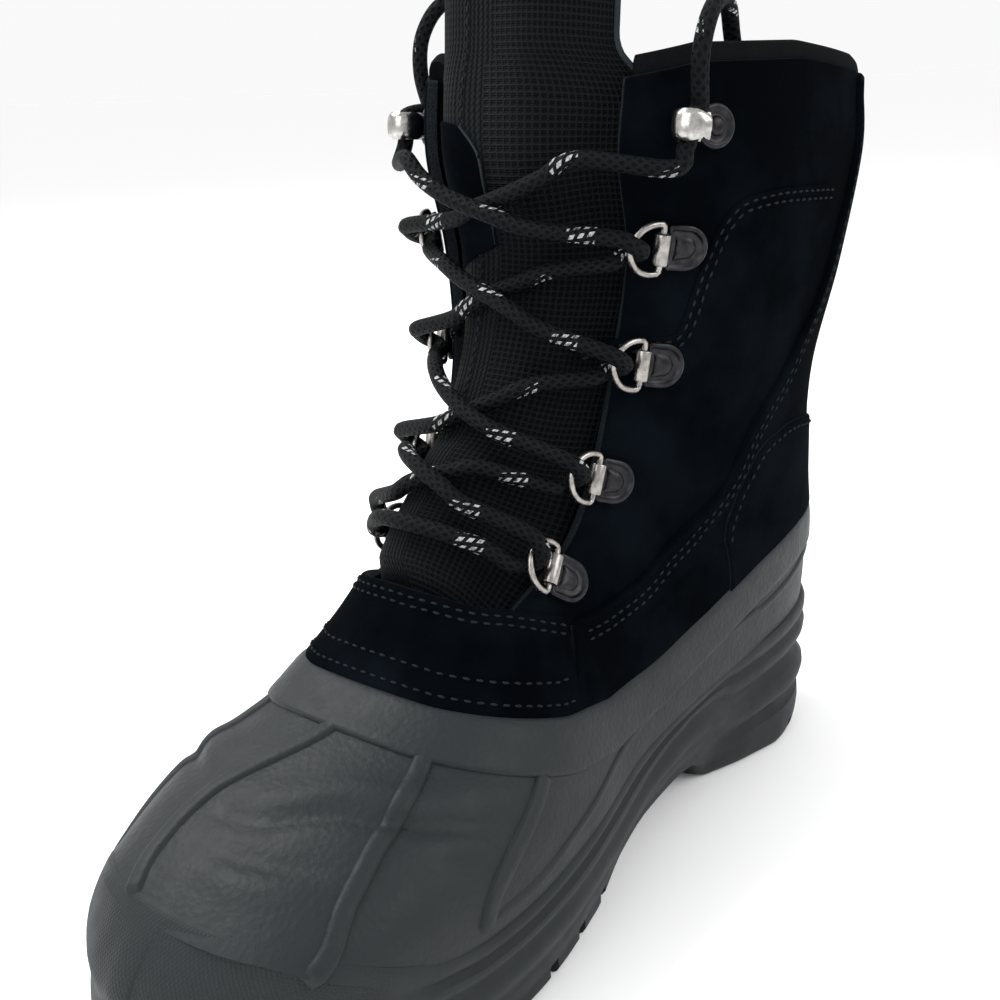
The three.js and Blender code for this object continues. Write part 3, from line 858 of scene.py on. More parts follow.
@dataclass(frozen=True)
class Metal(Finish):
    """Plated metal, a little dulled and stained."""

    def dress(self, shader: Shader) -> None:
        """Stains in its tone and its shine.

        Args:
            shader: The material's nodes.
        """
        stain = shader.noise(420, 3, 0.6)
        shader.set(base_color=shader.colour(stain.step(0.3, 0.65), self.shade(0.6), self.colour))
        shader.set(roughness=self.rough - 0.08 + 0.2 * shader.noise(900, 2, 0.6))
        shader.relief(shader.noise(700, 2, 0.5), 0.12, 0.0003)


SHELL_RUBBER = Rubber("shell_rubber", "rubber", Tone.RUBBER.value, 0.52)
SOLE_RUBBER = KnurledRubber("sole_rubber", "rubber", Tone.RUBBER.value, 0.58)
SUEDE = Suede("brushed_suede", "suede", Tone.SUEDE.value, 0.95)
LINING = Cloth("collar_fleece", "felt", Tone.LINING.value, 0.95)
TONGUE = TongueCloth("tongue_cover", "tongue_cloth", Tone.CLOTH.value, 0.75)
PIPING = Cloth("tongue_piping", "tongue_cloth", Tone.PIPING.value, 0.8)
THREAD = Cloth("stitch_thread", "suede", Tone.THREAD.value, 0.6)
LACE = Braid("braided_lace", "lace", Tone.LACE.value, 0.6)
AGLET = Metal("aglet_tube", "aglet", Tone.AGLET.value, 0.35)
NICKEL = Metal("nickel_wire", "nickel", Tone.NICKEL.value, 0.28, 1.0)
NICKEL_DARK = Metal("nickel_dark", "nickel", Tone.GUNMETAL.value, 0.34, 1.0)
NICKEL_BRIGHT = Metal("nickel_bright", "nickel", Tone.BRIGHT.value, 0.2, 1.0)


# ---- meshes ----


def wind_out(points: Array, faces: list) -> list:
    """Turn every face over if they would point inwards.

    Args:
        points: Points about their middle.
        faces: Tuples of point numbers.

    Returns:
        The faces, pointing outwards.
    """
    volume = 0.0
    for face in faces:
        a = points[face[0]]
        for b, c in zip(face[1:-1], face[2:]):
            volume += a @ np.cross(points[b], points[c])
    return faces if volume > 0 else [tuple(reversed(face)) for face in faces]


ASKEW = (0.31, 0.17, 0.93)  # a direction that no way starts in


class Maker:
    """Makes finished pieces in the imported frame."""

    @staticmethod
    def piece(
        name: str,
        points: Array,
        faces: list,
        finish: Finish,
        uv: Optional[Array] = None,
        crisp: float = 50.0,
        replaces: Sequence[str] = (),
        values: Optional[dict] = None,
        wrap: float = 0.0,
    ) -> Piece:
        """Make a piece from points in mm.

        Args:
            name: The piece's name.
            points: Points in the maker's frame.
            faces: Tuples of point numbers.
            finish: Its finish.
            uv: A UV for each point, in metres.
            crisp: Edges sharper than this many degrees are not smoothed.
            replaces: CAD nodes that it stands for.
            values: Numbers to store on its points, by name.
            wrap: Length of the UV map's first direction where it closes on itself, or 0.

        Returns:
            The piece, riding on the boot's one body.
        """
        mesh = bpy.data.meshes.new(name)
        mesh.from_pydata(in_frame(points).tolist(), [], wind_out(points - points.mean(axis=0), faces))
        if uv is not None:
            layer = mesh.uv_layers.new(name="UVMap")
            corner = np.empty(len(mesh.loops), dtype=np.int32)
            mesh.loops.foreach_get("vertex_index", corner)
            at_corner = np.asarray(uv, dtype=float)[corner]
            if wrap:
                first = np.empty(len(mesh.polygons), dtype=np.int32)
                size = np.empty(len(mesh.polygons), dtype=np.int32)
                mesh.polygons.foreach_get("loop_start", first)
                mesh.polygons.foreach_get("loop_total", size)
                widest = np.repeat(np.maximum.reduceat(at_corner[:, 0], first), size)
                at_corner[:, 0] += wrap * (widest - at_corner[:, 0] > wrap / 2)
            layer.data.foreach_set("uv", at_corner.astype(np.float32).ravel())
        for key, value in (values or {}).items():
            stored = mesh.attributes.new(key, "FLOAT", "POINT")
            stored.data.foreach_set("value", np.asarray(value, np.float32))
        mesh.materials.append(finish.material())
        mesh.polygons.foreach_set("use_smooth", [True] * len(mesh.polygons))
        mesh.set_sharp_from_angle(angle=math.radians(crisp))
        obj = bpy.data.objects.new(name, mesh)
        bpy.context.collection.objects.link(obj)
        return Maker.place(obj, finish, replaces)

    @staticmethod
    def place(obj: Piece, finish: Finish, replaces: Sequence[str] = ()) -> Piece:
        """Let a piece ride on the boot.

        Args:
            obj: The piece.
            finish: Its finish; not used.
            replaces: CAD nodes that it stands for.

        Returns:
            The piece.
        """
        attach(obj, BODY_NAME)
        if replaces:
            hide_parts(*replaces)
        triangles = sum(len(p.vertices) - 2 for p in obj.data.polygons) if obj.type == "MESH" else 0
        log.info("%s: %d triangles", obj.name, triangles)
        return obj

    @staticmethod
    def slab(
        name: str, outer: Grid, inner: Grid, finish: Finish, loop: bool = False, **options: object
    ) -> Piece:
        """Make a closed slab between two grids.

        Args:
            name: The piece's name.
            outer: Outer grid.
            inner: Inner grid of the same shape.
            finish: Its finish.
            loop: True if the grids' columns close on themselves.
            options: Passed on to piece().

        Returns:
            The piece.
        """
        rows, cols = outer.shape[:2]
        size = rows * cols
        number = lambda i, j, skin: skin * size + i * cols + j % cols
        faces = []
        spans = cols if loop else cols - 1
        for i in range(rows - 1):
            for j in range(spans):
                for skin, order in ((0, (0, 1, 2, 3)), (1, (3, 2, 1, 0))):
                    quad = [(i, j), (i, j + 1), (i + 1, j + 1), (i + 1, j)]
                    faces.append(tuple(number(*quad[k], skin) for k in order))
        rim = lambda a, b: (number(*a, 0), number(*a, 1), number(*b, 1), number(*b, 0))
        last = rows - 1
        for j in range(spans):
            faces.append(rim((0, j), (0, j + 1)))
            faces.append(rim((last, j + 1), (last, j)))
        if not loop:
            last = cols - 1
            for i in range(rows - 1):
                faces.append(rim((i + 1, 0), (i, 0)))
                faces.append(rim((i, last), (i + 1, last)))
        points = np.concatenate((outer.reshape(-1, 3), inner.reshape(-1, 3)))
        uv = Maker.grid_uv(outer).reshape(-1, 2)
        return Maker.piece(name, points, faces, finish, uv=np.concatenate((uv, uv)), **options)

    @staticmethod
    def grid_uv(grid: Grid) -> Array:
        """Distances along the columns and the rows of a grid, in metres.

        Args:
            grid: Points in mm.

        Returns:
            A UV for each point.
        """
        u = np.zeros(grid.shape[:2])
        v = np.zeros(grid.shape[:2])
        u[:, 1:] = np.cumsum(np.linalg.norm(np.diff(grid, axis=1), axis=-1).mean(axis=0))[None, :]
        v[1:, :] = np.cumsum(np.linalg.norm(np.diff(grid, axis=0), axis=-1).mean(axis=1))[:, None]
        return np.stack((u, v), axis=-1) * MM

    @staticmethod
    def around_way(way: Array, radius: Array, sides: int, closed: bool = False) -> Grid:
        """Rings of points round a way, turned as little as can be.

        Args:
            way: Points of the way, in mm.
            radius: Radius, or one for each point.
            sides: Points in a ring.
            closed: True if the way's end runs on into its start.

        Returns:
            The rings.
        """
        if closed:
            tangent = np.roll(way, -1, axis=0) - np.roll(way, 1, axis=0)
        else:
            tangent = np.gradient(way, axis=0)
        tangent = unit(tangent)
        side = np.cross(tangent[0], ASKEW)
        sides_out = []
        for direction in tangent:
            side = side - direction * (side @ direction)
            side = unit(side)
            sides_out.append(side)
        across = np.array(sides_out)
        up = np.cross(tangent, across)
        angles = round_angles(sides)[None, :, None]
        radius = np.broadcast_to(radius, len(way))[:, None, None]
        circle = np.cos(angles) * across[:, None, :] + np.sin(angles) * up[:, None, :]
        return way[:, None, :] + radius * circle

    @staticmethod
    def tube(
        name: str, way: Array, radius: Array, finish: Finish, sides: int, **options: object
    ) -> Piece:
        """Make a round tube along a way, its UV map running round it and along it.

        Args:
            name: The piece's name.
            way: Points of the way, in mm.
            radius: Radius, or one for each point.
            finish: Its finish.
            sides: Points in a ring.
            options: Passed on to piece().

        Returns:
            The piece.
        """
        rings = Maker.around_way(way, radius, sides)
        walk = walked(way)
        about = TURN * float(np.mean(radius))
        u = np.broadcast_to(np.arange(sides) / sides * about, rings.shape[:2])
        uv = np.stack((u, np.broadcast_to(walk[:, None], rings.shape[:2])), axis=-1).reshape(-1, 2) * MM
        return Maker.solid_rings(name, rings, finish, uv=uv, wrap=about * MM, crisp=80, **options)

    @staticmethod
    def ring_faces(rows: int, cols: int, closed: bool = False) -> list:
        """Faces between rings of points.

        Args:
            rows: Number of rings.
            cols: Points in a ring.
            closed: True if the last ring runs on into the first.

        Returns:
            Tuples of point numbers.
        """
        faces = []
        for i in range(rows if closed else rows - 1):
            here, there = i * cols, (i + 1) % rows * cols
            for j in range(cols):
                k = (j + 1) % cols
                faces.append((here + j, here + k, there + k, there + j))
        return faces

    @staticmethod
    def torus(name: str, rings: Grid, finish: Finish, **options: object) -> Piece:
        """Make a piece from rings whose last runs on into its first."""
        faces = Maker.ring_faces(*rings.shape[:2], closed=True)
        return Maker.piece(name, rings.reshape(-1, 3), faces, finish, crisp=50, **options)

    @staticmethod
    def solid_rings(
        name: str, rings: Grid, finish: Finish, uv: Optional[Array] = None, **options: object
    ) -> Piece:
        """Make a closed piece from rings, with a fan on each end.

        Args:
            name: The piece's name.
            rings: Rings of points, in mm.
            finish: Its finish.
            uv: A UV for each point, or None for distances.
            options: Passed on to piece().

        Returns:
            The piece.
        """
        rows, cols = rings.shape[:2]
        points = np.concatenate((rings.reshape(-1, 3), [rings[0].mean(axis=0), rings[-1].mean(axis=0)]))
        faces = Maker.ring_faces(rows, cols)
        end = (rows - 1) * cols
        for j in range(cols):
            k = (j + 1) % cols
            faces.append((rows * cols, k, j))
            faces.append((rows * cols + 1, end + j, end + k))
        if uv is None:
            uv = Maker.grid_uv(rings).reshape(-1, 2)
        uv = np.concatenate((uv, uv[:1], uv[-1:]))
        return Maker.piece(name, points, faces, finish, uv=uv, **options)


def strip(
    name: str,
    line: Line,
    profile: Rows,
    finish: Finish,
    depth: float = 1.5,
    ends: float = 2.0,
    lift: Optional[Rule] = None,
    **options: object,
) -> Piece:
    """Make a moulded strip along a line on the body.

    Args:
        name: The piece's name.
        line: The line that it follows.
        profile: Pairs of sideways distance and height, across the strip.
        finish: Its finish.
        depth: How far its underside lies below its lowest edge.
        ends: Length over which an open strip sinks away at each end, in mm.
        lift: Height of the ground under it at points on the body, or None for the bare body.
        options: Passed on to Maker.slab().

    Returns:
        The piece.
    """
    sink = np.zeros(len(line.place))
    if not line.loop:
        walk = walked(line.points())
        nearest = np.minimum(walk, walk[-1] - walk)
        sink = (1 - smoothstep(nearest, 0, ends)) * (max(height for _, height in profile) + 0.4)
    base = min(height for _, height in profile) - depth
    outer, inner = [], []
    for distance, height in profile:
        row = line.moved(distance)
        ground = lift(row.points()) if lift else np.zeros(len(row.place))
        outer.append(row.points(ground + height - sink))
        inner.append(row.points(ground + base - 0.5))
    return Maker.slab(name, np.array(outer), np.array(inner), finish, loop=line.loop, **options)


def troughs(points: Array, creases: Sequence[tuple]) -> Array:
    """Height of soft troughs and ridges over points.

    Args:
        points: Points in mm, in any grid.
        creases: For each, its depth (negative) or height, its width, and the points that it follows.

    Returns:
        Height to add along the normal.
    """
    flat = points.reshape(-1, 3)
    total = np.zeros(len(flat))
    for height, width, way in creases:
        way = np.asarray(way, dtype=float)
        walk = walked(way)
        best = np.full(len(flat), 1e9)
        where = np.zeros(len(flat))
        for k, (a, b) in enumerate(zip(way[:-1], way[1:])):
            ab = b - a
            t = np.clip((flat - a) @ ab / (ab @ ab), 0, 1)
            gap = np.linalg.norm(flat - a - t[:, None] * ab, axis=1)
            nearer = gap < best
            best[nearer] = gap[nearer]
            where[nearer] = (walk[k] + t * np.linalg.norm(ab))[nearer]
        fade = np.sin(np.pi * np.clip(where / walk[-1], 0.02, 0.98)) ** 0.6
        total += height * fade * np.exp(-((best / width) ** 2))
    return total.reshape(points.shape[:-1])


# ---- camera and stage ----


@dataclass
class StudioCamera:
    """A still camera placed by the angle it looks at the boot from."""

    place: tuple = (430.6, 231.2, 241.4)  # mm, maker's frame
    azimuth: float = 39.51  # degrees from +X towards +Y
    elevation: float = 18.49
    roll: float = -2.02
    focal: float = 1.285  # in widths of the sensor
    sensor: float = 36.0

    def make(self) -> Piece:
        """Make the camera and give it to the scene.

        Returns:
            The camera object.
        """
        azimuth, elevation, roll = (math.radians(a) for a in (self.azimuth, self.elevation, self.roll))
        back = Vector(
            (
                math.cos(elevation) * math.cos(azimuth),
                math.cos(elevation) * math.sin(azimuth),
                math.sin(elevation),
            )
        )
        right = (-back).cross(Vector((0, 0, 1))).normalized()
        up = right.cross(-back)
        turned_right = math.cos(roll) * right + math.sin(roll) * up
        turned_up = -math.sin(roll) * right + math.cos(roll) * up
        data = bpy.data.cameras.new("studio_camera")
        data.sensor_width = self.sensor
        data.lens = self.focal * self.sensor
        data.clip_start, data.clip_end = 0.01, 20
        camera = bpy.data.objects.new("studio_camera", data)
        turn = Matrix((turned_right, turned_up, back)).transposed().to_4x4()
        camera.matrix_world = Matrix.Translation(in_frame(self.place)) @ turn
        bpy.context.collection.objects.link(camera)
        bpy.context.scene.camera = camera
        return camera


@dataclass
class Studio:
    """A plain pale floor under an even sky, and soft lights."""

    floor_tone: tuple = (1.0, 1.0, 1.0)
    world_tone: tuple = (1.0, 1.0, 1.0)
    world_light: float = 0.95
    lights: tuple = (
        # name, place in m, size in m, watts
        ("key", (0.25, -0.8, 1.2), 0.8, 20.0),
        ("front", (1.1, -0.1, 0.7), 0.9, 7.0),
        ("side", (-0.3, 1.1, 0.9), 0.9, 9.0),
    )

    def make(self) -> None:
        """Make the floor, lights and world."""
        bpy.ops.mesh.primitive_plane_add(size=60)
        floor = bpy.context.object
        floor.name = "studio_floor"
        floor.data.materials.append(Finish("studio_floor", "", self.floor_tone, 0.9).material())
        world = bpy.data.worlds.new("studio")
        world.use_nodes = True
        background = world.node_tree.nodes["Background"]
        background.inputs[0].default_value = (*self.world_tone, 1)
        background.inputs[1].default_value = self.world_light
        bpy.context.scene.world = world
        for name, place, size, watts in self.lights:
            data = bpy.data.lights.new(name, "AREA")
            data.size, data.energy = size, watts
            lamp = bpy.data.objects.new(name, data)
            lamp.location = place
            lamp.rotation_euler = (Vector((0, 0, 0.12)) - Vector(place)).to_track_quat("-Z", "Y").to_euler()
            bpy.context.collection.objects.link(lamp)
        bpy.context.scene.view_settings.view_transform = "Standard"


# ---- sole ----


@dataclass
class Outsole:
    """The lugged rubber unit: side wall with its mouldings, tread and lug channels."""

    along: int = 150  # points from heel to toe on each side
    across: int = 12  # points across the tread
    top_out: float = 0.6  # how far the wall's top edge stands out of the body
    # height as a share of the wall, offset at the heel, offset at the waist and forefoot, offset at the toe
    profile: Rows = (
        (0.0, -2.6, -1.6, -1.6), (0.02, -1.4, -0.6, -0.7), (0.06, -0.6, -0.1, -0.2),
        (0.12, -0.1, -0.9, 0.0), (0.2, 0.1, -0.9, 0.2), (0.27, -0.3, -0.9, 0.4), (0.3, -2.2, -1.0, 0.4),
        (0.325, -2.7, -1.2, 0.3), (0.36, -1.6, -1.3, 0.1), (0.41, 0.4, -0.7, -0.3), (0.45, 0.9, -0.2, -1.2),
        (0.49, 0.6, 0.0, -1.4), (0.54, -1.4, -0.2, -0.8), (0.58, -3.5, -0.8, -0.2), (0.61, -4.1, -1.6, 0.2),
        (0.64, -3.1, -2.0, 0.4), (0.68, -0.6, -1.5, 0.5), (0.73, 0.9, -0.4, 0.6), (0.77, 1.2, 0.0, 0.6),
        (0.8, 0.6, -0.2, 0.6), (0.825, -0.7, -1.4, 0.6), (0.84, -0.9, -1.8, 0.6), (0.86, 0.2, -1.0, 0.6),
        (0.9, 1.3, 0.0, 0.6), (0.94, 1.5, 0.3, 0.6), (0.97, 1.1, 0.0, 0.5), (0.99, 0.3, -0.7, 0.1),
        (1.0, -1.2, -1.9, -0.9),
    )  # fmt: skip
    # x, width, turn of a channel across the tread's edge
    channels: Rows = (
        (29, 5, 0), (168, 6, 0.22), (186, 6, 0.22), (204, 6, 0.2), (222, 6, 0.16), (240, 6, 0.1),
        (258, 6, 0), (275, 5.5, -0.12), (291, 5, -0.2),
    )  # fmt: skip
    # X over which the heel's mouldings end, the toe's begin, and the knurl begins
    heel_ends: tuple = (50, 85)
    toe_starts: tuple = (240, 266)
    knurl_starts: tuple = (258, 272)
    # share of the wall's height from which it leans in to the body, and over which
    lean_from: float = 0.42
    lean_over: float = 0.58
    channel_depth: float = 6.0
    channel_below: float = 8.0  # how far a channel's cutter reaches below the ground
    channel_reach: float = 90.0  # length of a channel's cutter
    channel_middle: float = 54.0  # distance of its middle from the boot's
    channel_taper: float = 0.72  # its width at the top, as a share of that at the ground

    def _ground_loop(self) -> Array:
        """Outline on the ground: right side, toe, left side, heel.

        Returns:
            Pairs of X and Y, in mm.
        """
        table = Sections(OUTLINE_ROWS)
        rows = len(OUTLINE_ROWS) - 1
        t = np.linspace(0, 1, self.along)
        t = (0.62 * t + 0.38 * (1 - np.cos(np.pi * t)) / 2) * rows
        x, left, right = table.at(t).T
        ease = np.linspace(1, -1, self.across + 2)[1:-1]
        toe = np.stack((x[-1] + 1.2 * (1 - ease**2), ease * -1 * (left[-1] + right[-1]) / 2 + 0.5), axis=1)
        heel = np.stack((x[0] - 1.5 * (1 - ease**2), ease * (left[0] + right[0]) / 2), axis=1)
        right_side = np.stack((x, -right), axis=1)
        left_side = np.stack((x, left), axis=1)[::-1]
        return np.concatenate((right_side, toe, left_side, heel))

    def _top_loop(self, ground: Array) -> Array:
        """Top edge of the wall on the body, one point for each ground point.

        Args:
            ground: The outline on the ground.

        Returns:
            The points, in mm.
        """
        loop = Line.around(GROOVE_GUIDE, sole_edge, 1.2)
        points = loop.points(np.full(len(loop.place), self.top_out))
        front = int(np.argmin(np.abs(loop.angle)))
        right, left = points[: front + 1], points[front:]
        half, behind = self.along + self.across // 2, self.across - self.across // 2
        ground_right = np.concatenate((ground[-behind:], ground[:half]))
        ground_left = ground[half:-behind]
        whole = np.concatenate((self._match(right, ground_right), self._match(left, ground_left)))
        return np.roll(whole, -behind, axis=0)

    @staticmethod
    def _match(way: Array, ground: Array) -> Array:
        """Points along a way at the same shares of its length as the ground points.

        Args:
            way: Points to walk along.
            ground: Points whose shares are taken.

        Returns:
            One point for each ground point.
        """
        a, b = walked(way[:, :2]), walked(ground[:, :2])
        share = (b + (b[1] - b[0]) / 2) / (b[-1] + (b[1] - b[0]))
        return np.stack([np.interp(share * a[-1], a, way[:, k]) for k in range(3)], axis=1)

    def make(self) -> None:
        """Make the sole."""
        ground = self._ground_loop()
        top = self._top_loop(ground)
        tangent = np.roll(ground, -1, axis=0) - np.roll(ground, 1, axis=0)
        normal = unit(np.stack((tangent[:, 1], -tangent[:, 0]), axis=1))
        low = read(UNDERSIDE, ground[:, 0])
        heel = 1 - smoothstep(ground[:, 0], *self.heel_ends)
        toe = smoothstep(ground[:, 0], *self.toe_starts)
        rings, knurl = [], []
        for share, at_heel, at_side, at_toe in self.profile:
            offset = at_heel * heel + at_toe * toe + at_side * (1 - heel - toe)
            lean = max((share - self.lean_from) / self.lean_over, 0) ** 2.2
            z = low + (top[:, 2] - low) * share
            flare = read(FLARE, ground[:, 0]) * np.clip(1 - z / WALL_UPRIGHT, 0, 1) ** 1.2
            plan = ground + (top[:, :2] - ground) * lean + normal * (offset - flare)[:, None]
            rings.append(np.column_stack((plan, z)))
            knurl.append(smoothstep(ground[:, 0], *self.knurl_starts) * (0.5 < share < 0.98))
        self._close(np.array(rings), np.array(knurl))

    def _close(self, rings: Array, knurl: Array) -> None:
        """Close the wall with the tread below and a flat top, and cut the lug channels.

        Args:
            rings: The wall's rings, from the ground up.
            knurl: How far each point is knurled, 0 to 1.
        """
        rows, cols = rings.shape[:2]
        points = [rings.reshape(-1, 3)]
        faces = Maker.ring_faces(rows, cols)
        count = rows * cols
        for row, turn in ((0, True), (rows - 1, False)):
            right = [row * cols + i for i in range(self.along)]
            left = [row * cols + 2 * self.along + self.across - 1 - i for i in range(self.along)]
            numbers = [right]
            ring = rings[row]
            for c in range(1, self.across + 1):
                f = c / (self.across + 1)
                inner = ring[right[0] - row * cols : right[-1] - row * cols + 1]
                outer = ring[[n - row * cols for n in left]]
                line = inner + (outer - inner) * f
                toe_point = row * cols + self.along + c - 1
                heel_point = row * cols + cols - c
                middle = line[1:-1]
                if row == 0:
                    middle = middle.copy()
                    middle[:, 2] = read(UNDERSIDE, middle[:, 0])
                points.append(middle)
                numbers.append([heel_point, *range(count, count + len(middle)), toe_point])
                count += len(middle)
            numbers.append(left)
            for a, b in zip(numbers[:-1], numbers[1:]):
                for p, q, r, s in zip(a[:-1], a[1:], b[1:], b[:-1]):
                    faces.append((p, s, r, q) if turn else (p, q, r, s))
        points = np.concatenate(points)
        uv = np.zeros((len(points), 2))
        uv[: rows * cols] = Maker.grid_uv(rings).reshape(-1, 2)
        values = np.zeros(len(points))
        values[: rows * cols] = knurl.reshape(-1)
        sole = Maker.piece(
            "outsole_rubber", points, faces, SOLE_RUBBER, uv=uv, crisp=38, replaces=["outsole"],
            values={"knurl": values},
        )  # fmt: skip
        self._cut(sole)

    def _cut(self, sole: Piece) -> None:
        """Cut the channels between the lugs.

        Args:
            sole: The piece to cut.
        """
        cutters = []
        for x, width, turn in self.channels:
            for side in (-1, 1):
                z = float(read(UNDERSIDE, x))
                bpy.ops.mesh.primitive_cube_add(size=1)
                box = bpy.context.object
                for vertex in box.data.vertices:
                    narrow = self.channel_taper if vertex.co.z > 0 else 1.0
                    across = vertex.co.y * self.channel_reach + side * self.channel_middle
                    local = Vector((vertex.co.x * width * narrow, across, 0))
                    local.rotate(Matrix.Rotation(side * turn, 3, "Z"))
                    height = z + (self.channel_depth if vertex.co.z > 0 else -self.channel_below)
                    vertex.co = Vector(in_frame((local.x + x, local.y, height)))
                cutters.append(box)
        for box in cutters:
            box.select_set(True)
        bpy.context.view_layer.objects.active = cutters[0]
        bpy.ops.object.join()
        cutter = bpy.context.object
        cut = sole.modifiers.new("channels", "BOOLEAN")
        cut.operation, cut.object, cut.solver = "DIFFERENCE", cutter, "EXACT"
        cut.use_self = True
        depsgraph = bpy.context.evaluated_depsgraph_get()
        mesh = bpy.data.meshes.new_from_object(sole.evaluated_get(depsgraph))
        sole.modifiers.clear()
        sole.data = mesh
        bpy.data.objects.remove(cutter)


# ---- rubber shell ----


@dataclass
class Panel:
    """A panel on the body, as a grid of places and angles over the skin or another panel."""

    place: Array
    angle: Array
    loop: bool = False

    @classmethod
    def between(cls, first: Line, second: Line, step: float = 2.2, fine: bool = True) -> "Panel":
        """Span two lines that run the same way.

        Args:
            first: The line of the first row.
            second: The line of the last row.
            step: Size of its faces, in mm.
            fine: True to add narrow rows and columns at its edges, where it rolls over.

        Returns:
            The panel.
        """
        span = lambda p: float(np.linalg.norm(np.diff(p, axis=0), axis=-1).sum(axis=0).mean())
        long = max(span(first.points()), span(second.points()))
        columns = cls._shares(long, step, fine and not first.loop)
        if first.loop:
            columns = np.linspace(0, 1, int(long / step) + 1)[:-1]
        a, b = first.resampled(len(columns), columns), second.resampled(len(columns), columns)
        wide = span(np.stack((a.points(), b.points())))
        rows = cls._shares(wide, step, fine)[:, None]
        return cls(a.place + (b.place - a.place) * rows, a.angle + (b.angle - a.angle) * rows, first.loop)

    @staticmethod
    def _shares(length: float, step: float, fine: bool) -> Array:
        """Shares of a length at about even steps, with narrow ones at both ends.

        Args:
            length: The length, in mm.
            step: Size of a step.
            fine: True to add the narrow steps.

        Returns:
            Shares from 0 to 1.
        """
        count = max(int(length / step), 3)
        if not fine:
            return np.linspace(0, 1, count)
        edge = np.array((0, 0.12, 0.35, 0.7, 1.2, 2.0)) / length
        return np.concatenate((edge, np.linspace(edge[-1], 1 - edge[-1], count)[1:-1], 1 - edge[::-1]))

    def bare(self) -> Grid:
        """The skin's points under the panel."""
        return BODY.bare(self.place, self.angle)

    def rolled(self, radii: tuple) -> Array:
        """How full the panel is: 1 inside, falling round to 0 at its edges.

        Args:
            radii: Width of the roll at the first row, last row, first column and last column; 0 for none.

        Returns:
            A share for each point.
        """
        points = self.bare()
        down = np.zeros(self.place.shape)
        down[1:] = np.cumsum(np.linalg.norm(np.diff(points, axis=0), axis=-1), axis=0)
        across = np.zeros(self.place.shape)
        across[:, 1:] = np.cumsum(np.linalg.norm(np.diff(points, axis=1), axis=-1), axis=1)
        full = np.ones(self.place.shape)
        for gap, radius in zip((down, down[-1:] - down, across, across[:, -1:] - across), radii):
            if radius:
                full *= np.sqrt(np.clip(1 - (1 - np.clip(gap / radius, 0, 1)) ** 2, 0, 1))
        return full

    def make(
        self,
        name: str,
        finish: Finish,
        height: Array,
        ground: Array = 0.0,
        radii: tuple = (0, 0, 0, 0),
        wall: float = 1.6,
        sunk: float = 0.5,
        **options: object,
    ) -> Piece:
        """Make the panel as a closed slab.

        Args:
            name: The piece's name.
            finish: Its finish.
            height: Its height over what it lies on.
            ground: Height over the skin of what it lies on.
            radii: Widths of its rolled edges, as in rolled().
            wall: How far its underside lies below its height.
            sunk: How far its rolled edges sink below what it lies on.
            options: Passed on to Maker.slab().

        Returns:
            The piece.
        """
        full = self.rolled(radii)
        out = ground + (height + sunk) * full - sunk
        outer = BODY.point(self.place, self.angle, out)
        inner = BODY.point(self.place, self.angle, np.minimum(out - 0.3, ground + np.mean(height) - wall))
        values = {"edge": np.tile(1 - full.ravel(), 2)}
        return Maker.slab(name, outer, inner, finish, loop=self.loop, values=values, **options)


